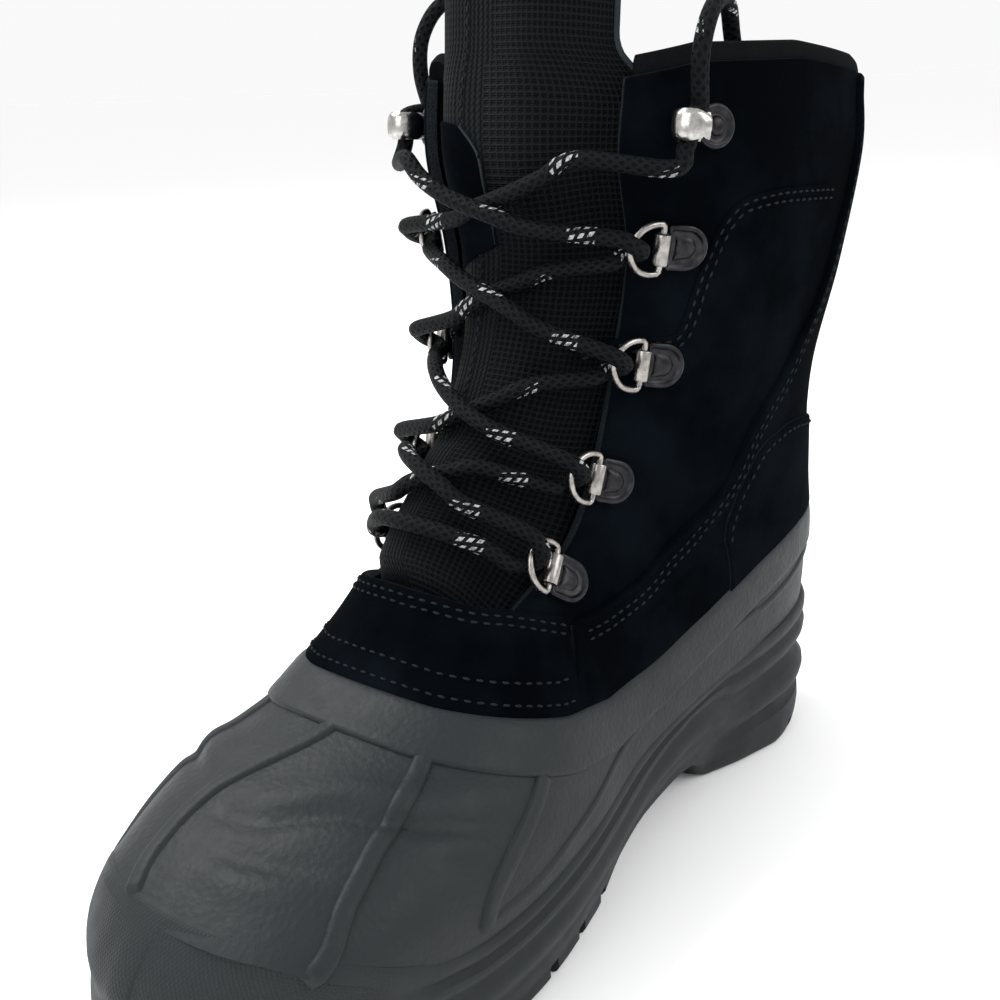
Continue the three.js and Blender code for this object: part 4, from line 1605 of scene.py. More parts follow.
@dataclass
class RubberShell:
    """The moulded rubber foot: its skin, the smooth band under the suede, ribs and folds."""

    out: float = 0.4
    wall: float = 2.6
    band_profile: Rows = (
        (1.2, -0.6), (0.5, 0.6), (0.0, 1.2), (-0.8, 1.7), (-2.5, 1.95), (-5, 2.0), (-8, 1.95), (-11, 1.85),
        (-13, 1.8), (-14, 1.7), (-14.7, 1.45), (-15.1, 0.8), (-15.3, -0.1), (-15.45, -0.8),
    )  # fmt: skip
    rib_profile: Rows = (
        (-3.0, -0.4), (-2.7, 0.4), (-2.3, 1.1), (-1.7, 1.5), (-0.8, 1.62), (0, 1.66), (0.8, 1.62), (1.7, 1.5),
        (2.3, 1.1), (2.7, 0.4), (3.0, -0.4),
    )  # fmt: skip
    bead_profile: Rows = (
        (-1.9, -0.4), (-1.5, 0.5), (-0.8, 1.0), (0, 1.15), (0.8, 1.0), (1.5, 0.5), (1.9, -0.4),
    )  # fmt: skip
    ribs: tuple = (
        ("outer", ((9.25, 65), (9.69, 70), (10.12, 75.6), (10.45, 84), (10.65, 97))),
        ("outer_front", ((10.05, 29.5), (10.5, 34.7), (10.86, 39), (11.2, 43), (11.66, 53), (12.0, 67),
                         (12.3, 74))),
        ("middle", ((10.2, 2.5), (10.54, 0), (10.86, -4), (11.2, -10), (11.5, -15.5), (11.9, -19),
                    (12.4, -20), (12.85, -17), (12.97, -16))),
        ("inner_front", ((9.95, -33), (10.4, -40), (10.9, -50), (11.4, -63), (11.8, -74), (12.1, -80))),
        ("inner", ((9.25, -66), (9.7, -71), (10.15, -78), (10.6, -90))),
    )  # fmt: skip
    beads: tuple = (
        ("side_bead", ((4.9, 150), (5.0, 125), (5.3, 108), (5.75, 94), (6.3, 88), (7.0, 88), (7.8, 89),
                       (8.6, 89), (9.4, 90), (10.1, 92), (10.6, 92))),
    )  # fmt: skip
    # height, width, and the stations that a fold follows
    folds: tuple = (
        (-1.7, 2.1, ((11.64, -11), (11.62, 0), (11.5, 9), (11.14, 23), (10.89, 38.4), (10.45, 54),
                     (9.95, 68))),
        (1.3, 4.4, ((11.33, -11), (11.28, 5), (10.86, 22), (10.58, 37), (10.06, 52), (9.6, 66))),
        (-1.1, 2.0, ((11.98, -4), (11.95, 10), (11.8, 23.5), (11.5, 40))),
        (0.9, 4.0, ((12.22, 0), (12.2, 12), (12.05, 26), (11.8, 42))),
        (-1.2, 2.2, ((11.4, -22), (11.2, -34), (11.0, -46), (10.8, -58))),
        (1.0, 4.0, ((11.1, -22), (10.9, -34), (10.7, -46), (10.5, -58))),
        (-0.9, 2.2, ((10.3, 76), (10.5, 70), (10.75, 62), (10.95, 56))),
    )  # fmt: skip

    def make(self) -> None:
        """Make the shell's pieces."""
        edge = Line.around(EDGE_GUIDE, shell_edge, 1.6)
        groove = Line.around(GROOVE_GUIDE, sole_edge, 1.6)
        skin = Panel.between(edge.moved(-6), groove.moved(-5), step=1.5, fine=False)
        creases = [(height, width, Line.through(way).points()) for height, width, way in self.folds]
        lift = lambda points: troughs(points, creases)
        skin.make(
            "shell_skin", SHELL_RUBBER, self.out + lift(skin.bare()), wall=self.wall,
            replaces=["rubber_shell"],
        )  # fmt: skip
        strip("shell_band", edge, self.band_profile, SHELL_RUBBER, crisp=60)
        for name, way in self.ribs:
            rib = Line.through(way)
            strip(f"shell_rib_{name}", rib, self.rib_profile, SHELL_RUBBER, ends=3, lift=lift, crisp=70)
        for name, way in self.beads:
            for side, stations in (("left", way[::-1]), ("right", mirrored(way[::-1]))):
                bead = Line.through(stations)
                strip(f"shell_{name}_{side}", bead, self.bead_profile, SHELL_RUBBER, ends=8)


# ---- suede upper ----


class Stitching(Nodes):
    """Rows of thread stitches, laid along lines by Geometry Nodes."""

    LENGTH = 2.4  # of a stitch, mm
    RADIUS = 0.42  # of the thread, mm
    WAVER = 0.08  # how far a stitch's direction strays
    SEED = 7

    def __init__(self) -> None:
        """Build the node tree."""
        tree = bpy.data.node_groups.new("stitches", "GeometryNodeTree")
        super().__init__(tree)
        face = tree.interface
        for label, kind in (
            ("Geometry", "NodeSocketGeometry"),
            ("Pitch", "NodeSocketFloat"),
            ("Stitch Length", "NodeSocketFloat"),
            ("Thread Radius", "NodeSocketFloat"),
            ("Waver", "NodeSocketFloat"),
            ("Thread", "NodeSocketMaterial"),
        ):
            face.new_socket(label, in_out="INPUT", socket_type=kind)
        face.new_socket("Geometry", in_out="OUTPUT", socket_type="NodeSocketGeometry")
        self.inputs = tree.nodes.new("NodeGroupInput")
        curve = self.node("GeometryNodeMeshToCurve", inputs={0: "Geometry"})
        even = self.node(
            "GeometryNodeResampleCurve", {"mode": "LENGTH"}, {"Curve": curve.outputs[0], "Length": "Pitch"}
        )
        tangent = self.node("GeometryNodeInputTangent")
        low = self.node("ShaderNodeMath", {"operation": "MULTIPLY"}, {0: "Waver", 1: -1.0})
        waver = self.node(
            "FunctionNodeRandomValue",
            {"data_type": "FLOAT_VECTOR"},
            {0: low.outputs[0], 1: "Waver", "Seed": self.SEED},
        )
        lean = self.node(
            "ShaderNodeVectorMath", {"operation": "ADD"}, {0: tangent.outputs[0], 1: waver.outputs[0]}
        )
        turn = self.node("FunctionNodeAlignRotationToVector", {"axis": "X"}, {"Vector": lean.outputs[0]})
        ball = self.node("GeometryNodeMeshIcoSphere", inputs={"Radius": 1.0, "Subdivisions": 1})
        half = self.node("ShaderNodeMath", {"operation": "MULTIPLY"}, {0: "Stitch Length", 1: 0.5})
        size = self.node(
            "ShaderNodeCombineXYZ", inputs={0: half.outputs[0], 1: "Thread Radius", 2: "Thread Radius"}
        )
        laid = self.node(
            "GeometryNodeInstanceOnPoints",
            inputs={
                "Points": even.outputs[0],
                "Instance": ball.outputs[0],
                "Rotation": turn.outputs[0],
                "Scale": size.outputs[0],
            },
        )
        real = self.node("GeometryNodeRealizeInstances", inputs={0: laid.outputs[0]})
        done = self.node(
            "GeometryNodeSetMaterial", inputs={"Geometry": real.outputs[0], "Material": "Thread"}
        )
        output = tree.nodes.new("NodeGroupOutput")
        tree.links.new(done.outputs[0], output.inputs[0])

    def feed(self, socket: Socket, value: object) -> None:
        """Feed a socket; a string stands for the group's input of that name."""
        super().feed(socket, self.inputs.outputs[value] if isinstance(value, str) else value)

    def sew(self, name: str, lines: Sequence[Array], finish: Finish, pitch: float = 3.5) -> None:
        """Lay stitches along polylines.

        Args:
            name: The piece's name.
            lines: Polylines of points in mm.
            finish: The thread's finish.
            pitch: Distance between stitches, in mm.
        """
        points, edges = [], []
        for line in lines:
            start = len(points)
            points.extend(in_frame(line).tolist())
            edges.extend((start + i, start + i + 1) for i in range(len(line) - 1))
        mesh = bpy.data.meshes.new(name)
        mesh.from_pydata(points, edges, [])
        obj = bpy.data.objects.new(name, mesh)
        bpy.context.collection.objects.link(obj)
        nodes = obj.modifiers.new("stitches", "NODES")
        nodes.node_group = self.tree
        values = {
            "Pitch": pitch * MM,
            "Stitch Length": self.LENGTH * MM,
            "Thread Radius": self.RADIUS * MM,
            "Waver": self.WAVER,
            "Thread": finish.material(),
        }
        for socket in self.tree.interface.items_tree:
            if socket.in_out == "INPUT" and socket.name in values:
                nodes[socket.identifier] = values[socket.name]
        bpy.context.view_layer.update()
        depsgraph = bpy.context.evaluated_depsgraph_get()
        made = bpy.data.meshes.new_from_object(obj.evaluated_get(depsgraph))
        obj.modifiers.clear()
        obj.data = made
        made.polygons.foreach_set("use_smooth", [True] * len(made.polygons))
        Maker.place(obj, finish)


THROAT_GUESS = 0.6  # radians from the front to the throat's edge, to start from


@dataclass
class Upper:
    """The suede shaft and vamp with their panels, padded collar and stitching."""

    stitching: Stitching
    wall: float = 3.6
    vamp_height: float = 1.3
    panel_height: float = 1.1
    counter_height: float = 1.0
    vamp_top: Rows = ((7.36, -51), (7.75, -40), (8.12, -27), (8.3, -13), (8.35, 0), (8.33, 10), (8.15, 26.5),
                      (7.8, 38), (7.36, 51))  # fmt: skip
    vamp_foot: Rows = ((8.42, -67), (8.92, -56), (9.45, -38), (9.76, -18), (9.82, 0), (9.76, 18), (9.45, 38),
                       (8.92, 56), (8.42, 67))  # fmt: skip
    welt: Rows = ((7.42, 53.5), (6.95, 57), (6.45, 58.5), (5.64, 61), (4.83, 70), (3.73, 82), (3.02, 93),
                  (2.32, 102), (1.51, 107), (0.7, 110), (-0.3, 112))  # fmt: skip
    panel_foot: Rows = ((8.42, 67), (7.88, 75), (7.3, 77), (6.76, 78), (6.28, 78), (5.73, 81), (5.26, 89),
                        (4.86, 98), (4.55, 116), (4.34, 137), (4.23, 170), (4.0, 180), (3.0, 180), (2.0, 180),
                        (1.0, 180), (0.2, 180), (-0.3, 180))  # fmt: skip
    counter_top: Rows = ((5.2, 76), (4.55, 78), (4.1, 82), (3.8, 87), (3.6, 94), (3.5, 104), (3.48, 125),
                         (3.5, 150), (3.5, 180))  # fmt: skip
    counter_foot: Rows = ((5.9, 80), (5.6, 83), (5.26, 89), (4.86, 98), (4.55, 116), (4.34, 137), (4.25, 161),
                          (4.23, 180))  # fmt: skip
    quarter_seam: Rows = ((2.85, 26), (2.75, 40), (2.7, 51), (2.5, 53), (2.3, 53.5), (2.01, 55), (1.65, 59),
                          (1.42, 65), (1.33, 74), (1.3, 84), (1.3, 96))  # fmt: skip
    collar_seam: float = 26.0  # drop of the lining's seam below the rim
    # the lining's core: its top's drop below the rim, and its height over the skin
    core_drop: float = 2.2
    core_out: float = -3.3
    lining_gap: float = 0.03  # radians between the lining and the throat's edge
    # angle in degrees, and place of the quarters' lower edge, under the panels
    quarter_foot: tuple = (
        (30, 50, 58, 64, 72, 84, 96, 115, 180),
        (8.1, 7.95, 7.3, 6.4, 5.5, 4.5, 3.9, 3.5, 3.4),
    )
    # lines pressed into the side panel
    pressed: tuple = (
        ((3.83, 92), (4.0, 89), (4.33, 85)),
        ((4.5, 82), (4.75, 78), (5.34, 70)),
        ((5.5, 70), (5.9, 67), (6.4, 65.5), (6.85, 65)),
    )
    # height, width and stations of the soft creases of the shaft
    creases: tuple = (
        (-1.3, 5.0, ((5.0, 44), (5.1, 60), (5.0, 76), (4.7, 92))),
        (1.0, 6.0, ((4.3, 42), (4.35, 60), (4.2, 78), (3.9, 96))),
        (-1.0, 5.0, ((3.6, 44), (3.5, 60), (3.3, 74))),
        (0.8, 7.0, ((2.6, 60), (2.4, 80), (2.3, 100))),
        (-0.8, 6.0, ((1.8, 62), (1.6, 84), (1.7, 104))),
        (-1.2, 5.0, ((5.0, -44), (5.1, -60), (5.0, -76), (4.7, -92))),
        (0.9, 6.0, ((4.3, -42), (4.35, -60), (4.2, -78), (3.9, -96))),
        (-1.0, 5.0, ((3.3, 180), (3.2, 150), (3.3, 128))),
        (-1.0, 5.0, ((3.3, -180), (3.2, -150), (3.3, -128))),
    )

    @staticmethod
    def throat_angle(place: Array, side: float) -> Array:
        """Angle at which the throat's edge crosses sections.

        Args:
            place: Places of the sections.
            side: 1 for the left edge, -1 for the right.

        Returns:
            Angles without sign, in radians.
        """
        place = np.asarray(place, dtype=float)
        _, _, _, _, left, right, _, _, front, _ = np.moveaxis(BODY.sections.at(place), -1, 0)
        widest = left if side > 0 else right
        power = front / 2
        angle = np.full(place.shape, 0.5)
        for _ in range(5):
            half = read(THROAT, BODY.bare(place, angle * side)[..., 2])
            angle = np.arcsin(np.clip(half / widest, 0, 1) ** power)
        return angle

    @staticmethod
    def throat_beside(place: Array, left: Array) -> Array:
        """Angle of the throat's edge, on the left side where left is true and else on the right."""
        return np.where(left, Upper.throat_angle(place, 1.0), Upper.throat_angle(place, -1.0))

    @staticmethod
    def _place_where(rule: Rule, angle: Array, top: float, foot: float) -> Array:
        """Place at which a height falls below 0, by halving between two places.

        Args:
            rule: Gives a height for points in mm.
            angle: Angles of the points.
            top: Place to start from.
            foot: Place to end at.

        Returns:
            A place for each angle.
        """
        low, high = np.full(angle.shape, top), np.full(angle.shape, foot)
        for _ in range(24):
            middle = (low + high) / 2
            above = rule(BODY.bare(middle, angle)) > 0
            low, high = np.where(above, middle, low), np.where(above, high, middle)
        return (low + high) / 2

    def top_place(self, angle: Array, below: float) -> Array:
        """Place at a distance below the collar's top, at angles."""
        rule = lambda p: p[..., 2] - read(COLLAR_TOP, p[..., 0]) + below
        return self._place_where(rule, angle, -1.5, 6.0)

    def _quarters(self) -> Panel:
        """The suede from one side of the throat round the back to the other.

        Returns:
            The panel.
        """
        edge = np.array((0, 0.002, 0.006, 0.012, 0.02, 0.03))
        share = np.concatenate((-1 + edge, np.linspace(-0.96, 0.96, 130), 1 - edge[::-1]))
        side = np.where(share > 0, 1.0, -1.0)
        down = np.concatenate(((0, 0.001, 0.004, 0.008, 0.014), np.linspace(0.022, 1, 90)))[:, None]
        angle = side * (math.pi - (math.pi - THROAT_GUESS) * np.abs(share))
        angle = np.broadcast_to(angle, (len(down), len(share)))
        for _ in range(6):
            top = self.top_place(angle[0], SUEDE_BELOW_COLLAR)
            foot = np.interp(np.degrees(np.abs(angle[-1])), *self.quarter_foot)
            place = top + (foot - top) * down
            throat = self.throat_beside(place, side > 0)
            angle = side * (math.pi - (math.pi - throat) * np.abs(share)[None, :])
        turned = np.where(angle > 0, angle, angle + TURN)
        order = np.argsort(turned[0])
        return Panel(place[:, order], turned[:, order])

    def make(self) -> None:
        """Make the upper's pieces and seams."""
        creases = [(height, width, Line.through(way).points()) for height, width, way in self.creases]
        soft = lambda points: troughs(points, creases)
        quarters = self._quarters()
        bare = quarters.bare()
        dip = 3.5 * smoothstep(-shell_edge(bare), -1.5, 4)
        quarters.make(
            "suede_quarters", SUEDE, soft(bare) - dip, radii=(1.2, 0, 1.2, 1.2), wall=self.wall, sunk=1.2,
            replaces=["upper"],
        )  # fmt: skip
        self._collar()
        self._vamp()
        for side in ("left", "right"):
            self._side_panel(side, soft)

    def _collar(self) -> None:
        """The padded lining, rolled over the top and down inside the shaft."""
        # drop below the rim, height over the skin
        rows = (
            (9, -2.2), (6, -1.6), (4.2, -1.0), (2.6, -0.9), (1.2, -1.2), (0.4, -1.9), (0, -2.9), (0.2, -4.0),
            (0.9, -5.2), (2.4, -6.4), (5, -7.4), (9, -8.0), (16, -8.2), (23, -7.4), (26, -6.5), (32, -6.8),
            (48, -7.0), (66, -6.8), (86, -6.6), (106, -6.6), (124, -6.6),
        )  # fmt: skip
        share = np.linspace(-1, 1, 151)[:-1] + 1 / 150
        side = np.where(share > 0, 1.0, -1.0)
        outer, inner, seam = [], [], []
        for drop, out in rows:
            core = (inner, max(drop, self.core_drop), self.core_out)
            for grid, below, height in ((outer, drop, out), core):
                angle = side * (math.pi - (math.pi - THROAT_GUESS) * np.abs(share))
                for _ in range(5):
                    place = self.top_place(angle, below)
                    throat = self.throat_beside(place, side > 0)
                    angle = side * (math.pi - (math.pi - throat - self.lining_gap) * np.abs(share))
                order = np.argsort(np.where(angle > 0, angle, angle + TURN))
                grid.append(BODY.point(place[order], angle[order], np.full(len(angle), height)))
            if drop == self.collar_seam:
                seam.append(outer[-1] + (0, 0, 0.2))
        lining = Maker.slab("collar_lining", np.array(outer), np.array(inner), LINING)
        self.stitching.sew("collar_stitches", seam, THREAD, pitch=3.2)

    def _vamp(self) -> None:
        """The vamp with its rolled edge and stitch rows."""
        top = Line.through(self.vamp_top)
        foot = Line.through(self.vamp_foot).snapped(shell_edge)
        panel = Panel.between(top, foot.moved(-4), step=2.4)
        dip = 3.0 * smoothstep(-shell_edge(panel.bare()), -0.5, 4)
        panel.make("suede_vamp", SUEDE, self.vamp_height - dip, radii=(1.3, 0, 1.2, 1.2), wall=3.0)
        height = self.vamp_height + 0.12
        rows = [top.moved(-d).part(0.02, 0.98) for d in (2.4, 4.8)]
        rows += [foot.moved(d).part(0.01, 0.99) for d in (3.4, 9.6)]
        self.stitching.sew("vamp_stitches", [row.points(height) for row in rows], THREAD)

    def _side_panel(self, side: str, soft: Rule) -> None:
        """The low side panel and heel counter of one side, their welt and their stitching.

        Args:
            side: left or right.
            soft: Height of the soft creases at points.
        """
        turn = (lambda way: way) if side == "left" else mirrored
        welt = Line.through(turn(self.welt))
        foot = Line.through(turn(self.panel_foot))
        ends = (1.2, 0.5) if side == "left" else (0.5, 1.2)
        panel = Panel.between(welt, foot, step=2.4)
        bare = panel.bare()
        dip = 2.5 * smoothstep(-shell_edge(bare), -0.5, 3)
        pressed = [(-0.8, 1.1, Line.through(turn(way)).points()) for way in self.pressed]
        height = self.panel_height + soft(bare) + troughs(bare, pressed) - dip
        panel.make(f"suede_side_{side}", SUEDE, height, radii=(1.1, 0, *ends), wall=2.4)
        bead = ((-1.5, -0.2), (-1.3, 0.9), (-0.7, 1.75), (0, 2.0), (0.7, 1.7), (1.2, 0.8), (1.4, -0.4))
        strip(f"suede_welt_{side}", welt, bead, SUEDE, ends=3)
        top, low = Line.through(turn(self.counter_top)), Line.through(turn(self.counter_foot))
        counter = Panel.between(top, low, 2.4)
        base = self.panel_height + soft(counter.bare())
        dip = 2.5 * smoothstep(-shell_edge(counter.bare()), -0.5, 3)
        radii = (1.1, 0, 1.1, 0) if side == "left" else (1.1, 0, 0, 1.1)
        counter.make(
            f"suede_counter_{side}", SUEDE, self.counter_height - dip, ground=base, radii=radii, wall=1.8
        )
        seam = Line.through(turn(self.quarter_seam))
        lip = ((-2.6, 0.0), (-1.8, 0.35), (-0.8, 0.62), (-0.2, 0.6), (0.1, 0.35), (0.3, -0.3))
        strip(f"suede_seam_{side}", seam, lip, SUEDE, ends=2, depth=0.8)
        self._sew_side(side, welt, seam, counter, soft)

    def _sew_side(
        self, side: str, welt: Line, seam: Line, counter: Panel, soft: Rule
    ) -> None:
        """Stitch rows of one side.

        Args:
            side: left or right.
            welt: The welt.
            seam: The quarter's seam.
            counter: The heel counter.
            soft: Height of the soft creases at points.
        """
        rows = []
        for line, moves, height in (
            (welt.part(0.03, 0.9), (-3.4, -5.8), self.panel_height + 0.15),
            (seam, (-1.4, -3.8), 0.62),
            (Line(counter.place[0], counter.angle[0]).part(0.05, 0.97), (-2.6,), self.panel_height + 1.15),
        ):
            for move in moves:
                row = line.moved(move)
                rows.append(row.points(height + soft(row.points())))
        self.stitching.sew(f"side_stitches_{side}", rows, THREAD)


# ---- tongue ----


@dataclass
class Tongue:
    """The padded tongue: a woven strip, open spacer mesh, piping and a bare suede patch."""

    stitching: Stitching
    top: float = -1.25
    toe: float = 9.4
    throat_foot: float = 8.3  # place of the throat's lower end
    lap: float = math.radians(11)
    wall: float = 5.6
    proud: float = 3.0
    under: float = -6.0
    seam_side: float = -9.0  # Y of the seam beside the woven strip

    def out(self, place: Array, angle: Array) -> Array:
        """Height of the tongue's face over the skin.

        Args:
            place: Places of points.
            angle: Their angles.

        Returns:
            Heights in mm.
        """
        edge = Upper.throat_beside(np.minimum(place, self.throat_foot), angle >= 0)
        across = self._rise(edge, angle)
        along = smoothstep(8.5 - place, 0, 0.7)
        return self.under + (self.proud - self.under) * across * along

    @staticmethod
    def _rise(edge: Array, angle: Array) -> Array:
        """How far the tongue has risen at an angle, from 0 at the throat's edge to 1 in the middle."""
        t = np.clip((edge - 0.06 - np.abs(angle)) / (edge * 0.7), 0, 1)
        return t * t * (3 - 2 * t)

    def make(self) -> None:
        """Make the tongue's pieces."""
        place = np.linspace(self.top, self.toe, 120)[:, None]
        edge = Upper.throat_angle(np.minimum(place, self.throat_foot), 1.0) + self.lap
        share = np.sin(np.linspace(-1, 1, 60) * math.pi / 2)[None, :]
        start = np.clip((place - self.top) / 0.5, 0, 1)
        slim = 1 - 0.28 * smoothstep(0.6 - place, 0, 0.8)
        angle = edge * share * slim * (0.86 + 0.14 * np.sqrt(1 - (1 - start) ** 2))
        place = np.broadcast_to(place, angle.shape)
        out = self.out(place, angle)
        roll = np.sqrt(np.clip(1 - (1 - np.clip(start / 0.35, 0, 1)) ** 2, 0, 1)) * 2.4 - 2.4
        outer = BODY.point(place, angle, out + roll)
        inner = BODY.point(place, angle, out - self.wall - roll * 0.9)
        pad = Maker.slab(
            "tongue_pad", outer, inner, TONGUE, replaces=["tongue"],
            values={"web": np.tile((angle < math.radians(1)).astype(float).ravel(), 2)},
        )  # fmt: skip
        self._trim(outer)
        self._label()

    def _trim(self, face: Grid) -> None:
        """Piping along both edges and over the top, and the seam beside the woven strip.

        Args:
            face: Points of the pad's face.
        """
        left, top, right = face[:70, -5], face[3, 5:-5][::-1], face[:70, 4][::-1]
        way = np.concatenate((left[::-1][:-4], top, right[::-1][4:]))
        Maker.tube("tongue_piping", smooth_way(way, 2.0), 0.85, PIPING, 8)
        column = int(np.argmin(np.abs(face[20, :, 1] - self.seam_side)))
        self.stitching.sew("tongue_stitches", [face[2:64, column] + (0.2, 0, 0.1)], THREAD, pitch=3.0)

    def _label(self) -> None:
        """The bare suede patch."""
        first = Line.through(((0.7, -33), (0.68, -23), (0.69, -12), (0.75, -5), (0.98, -0.5)))
        last = Line.through(((2.3, -33), (2.28, -25), (2.2, -16), (2.05, -7), (1.9, 0)))
        patch = Panel.between(first, last, step=2.0)
        ground = self.out(patch.place, patch.angle)
        patch.make("label_patch", SUEDE, 0.9, ground=ground, radii=(0.7, 0.7, 0.7, 0.7), wall=1.4, sunk=0.3)
        edge = Line.through(((0.73, -6), (0.95, -1.2), (1.3, -0.6), (1.88, -0.6)))
        ground = self.out(edge.place, edge.angle)
        Maker.tube("label_edge", edge.points(ground + 0.55), 0.4, PIPING, 6)


# ---- fittings ----


def smooth_way(points: Array, step: float) -> Array:
    """Points of a smooth way through others.

    Args:
        points: Points that it passes, in mm.
        step: Distance between its points.

    Returns:
        The way's points.
    """
    table = Sections(points)
    dense = table.at(np.linspace(0, len(points) - 1, 24 * len(points)))
    length = walked(dense)
    stops = np.linspace(0, length[-1], max(int(length[-1] / step), 3) + 1)
    return np.stack([np.interp(stops, length, dense[:, k]) for k in range(3)], axis=1)


@dataclass(frozen=True)
class Station:
    """A place on the suede where a fitting stands."""

    name: str
    place: float
    turn: float  # degrees from the front

    def frame(self, side: int, out: float = 0.9) -> tuple[Array, Array]:
        """Where the fitting stands and how it is turned.

        Args:
            side: 1 for the left, -1 for the right.
            out: Height over the skin.

        Returns:
            Its origin, and rows of its axes: towards the throat, up, and out of the suede.
        """
        place, angle = np.array(self.place), np.array(side * math.radians(self.turn))
        step = 0.03 * side
        normal = BODY.normal(place, angle)
        across = BODY.bare(place, angle - step) - BODY.bare(place, angle + step)
        across = across - normal * (across @ normal)
        across = unit(across)
        return BODY.point(place, angle, np.array(out)), np.stack((across, np.cross(normal, across), normal))

    def lace_points(self, side: int, local: Rows) -> list:
        """Points of the lace at the fitting.

        Args:
            side: 1 for the left, -1 for the right.
            local: Towards the throat, up the boot, and out of the suede, in mm.

        Returns:
            The points in the maker's frame.
        """
        origin, axes = self.frame(side)
        up = 1 if axes[1][2] > 0 else -1
        return [origin + np.array((x, y * up, z)) @ axes for x, y, z in local]


STATIONS = (
    Station("ring_1", 6.75, 41.5),
    Station("ring_2", 4.6, 41),
    Station("ring_3", 3, 44.5),
    Station("ring_4", 1.85, 43.5),
    Station("hook", 0.72, 56),
)


@dataclass
class Fittings:
    """Hinged D-rings on riveted plates, and the top hooks."""

    bar: tuple = (1.6, 2.1)  # the hinge's x and z
    wire: float = 0.95
    width: float = 14.0
    depth: float = 10.0
    tilt: float = 0.3
    plate_length: float = 12.0
    plate_width: float = 13.0
    # inset from the plate's outline, z
    plate_profile: Rows = (
        (0.5, 0), (0.05, 0.2), (0, 0.7), (0.15, 1.15), (0.6, 1.45), (1.2, 1.45), (1.6, 1.1), (1.9, 0.75),
        (2.4, 0.65), (3.4, 0.65), (3.8, 1.0), (4.6, 1.35), (5.6, 1.45),
    )  # fmt: skip
    # radius, z of the hook's disc
    disc_profile: Rows = (
        (5.4, 0), (5.95, 0.3), (6, 0.9), (5.7, 1.5), (5.0, 1.7), (4.5, 1.45), (4.1, 1.1), (3.0, 0.9),
        (2.6, 1.1), (2.4, 1.9), (1.8, 2.4), (0.9, 2.6),
    )  # fmt: skip
    curl: Rows = (
        (2, 0.8), (6, 0.8), (9.5, 0.8), (11.6, 1.2), (13.1, 2.4), (14.1, 4.3), (14.1, 6.0), (13.2, 7.7),
        (11.8, 8.8), (10.2, 9.35), (8.6, 9.5), (7.6, 9.3),
    )  # fmt: skip
    # radius, y of the barrel's section
    barrel: Rows = (
        (2.15, -4.3), (2.3, -4.0), (2.3, 4.0), (2.15, 4.3), (1.5, 4.3), (1.4, 4.0), (1.4, -4.0), (1.5, -4.3),
    )  # fmt: skip
    curl_width: float = 8.0
    curl_wall: float = 1.3
    crown: float = 0.55  # how much thicker the curled strip is in its middle, each way

    def make(self) -> None:
        """Make every fitting of both sides."""
        for word, side in (("left", 1), ("right", -1)):
            for station in STATIONS:
                if station.name == "hook":
                    self._hook(station, side, f"lace_hook_{word}")
                else:
                    self._plate(station, side, f"plate_{station.name}_{word}")
                    self._ring(station, side, f"{station.name}_{word}")

    @staticmethod
    def _stand(station: Station, side: int, local: Array) -> Array:
        """Take a fitting's own points to its station."""
        origin, axes = station.frame(side)
        return origin + np.asarray(local, dtype=float) @ axes

    def _plate(self, station: Station, side: int, node: str) -> None:
        """The D-shaped plate with its raised rim, rivet and barrel.

        Args:
            station: Where it stands.
            side: 1 for the left, -1 for the right.
            node: The CAD node that it stands for.
        """
        r = self.plate_width / 2
        arc = np.linspace(0.5, 1.5, 25) * math.pi
        centre = r - self.plate_length
        loop = [(0.0, y) for y in np.linspace(-r, r, 9)[1:-1]]
        loop = [(0.0, -r + 0.8), *loop, (0.0, r - 0.8), (-0.8, r)]
        loop += [(centre + r * math.cos(a), r * math.sin(a)) for a in arc] + [(-0.8, -r)]
        outline = np.array(loop)
        middle = np.array((centre * 0.9, 0.0))
        reach = np.linalg.norm(outline - middle, axis=1, keepdims=True)
        rings = []
        for inset, z in self.plate_profile:
            flat = middle + (outline - middle) * (1 - inset / r * np.minimum(r / reach, 1))
            rings.append(np.column_stack((flat, np.full(len(outline), z))))
        rings = self._stand(station, side, np.array(rings))
        Maker.solid_rings(f"{node}_body", rings, NICKEL_DARK, crisp=40, replaces=[node])
        x, z = self.bar
        rings = [
            [(x + radius * math.cos(t), y, z + radius * math.sin(t)) for radius, y in self.barrel]
            for t in round_angles(20)
        ]
        Maker.torus(f"{node}_barrel", self._stand(station, side, np.array(rings)), NICKEL)

    def _ring(self, station: Station, side: int, node: str) -> None:
        """The wire ring: a straight hinge bar and a round bow.

        Args:
            station: Where it stands.
            side: 1 for the left, -1 for the right.
            node: The CAD node that it stands for.
        """
        r = self.width / 2
        loop = [(0, y) for y in np.linspace(r - 1.6, -r + 1.6, 7)]
        loop += [(0.15, -r + 0.6), (0.9, -r)]
        bow = np.linspace(-0.5, 0.5, 19) * math.pi
        loop += [(2.5 + (self.depth - 2.5) * math.cos(a), r * math.sin(a)) for a in bow]
        loop += [(0.9, r), (0.15, r - 0.6)]
        flat = np.array([(x, y, 0) for x, y in loop])
        x, y, _ = flat.T
        lean = np.column_stack((x * math.cos(self.tilt), y, x * math.sin(self.tilt)))
        way = lean + (self.bar[0], 0, self.bar[1])
        rings = Maker.around_way(self._stand(station, side, way), self.wire, 10, closed=True)
        Maker.torus(f"{node}_wire", rings, NICKEL, replaces=[node])

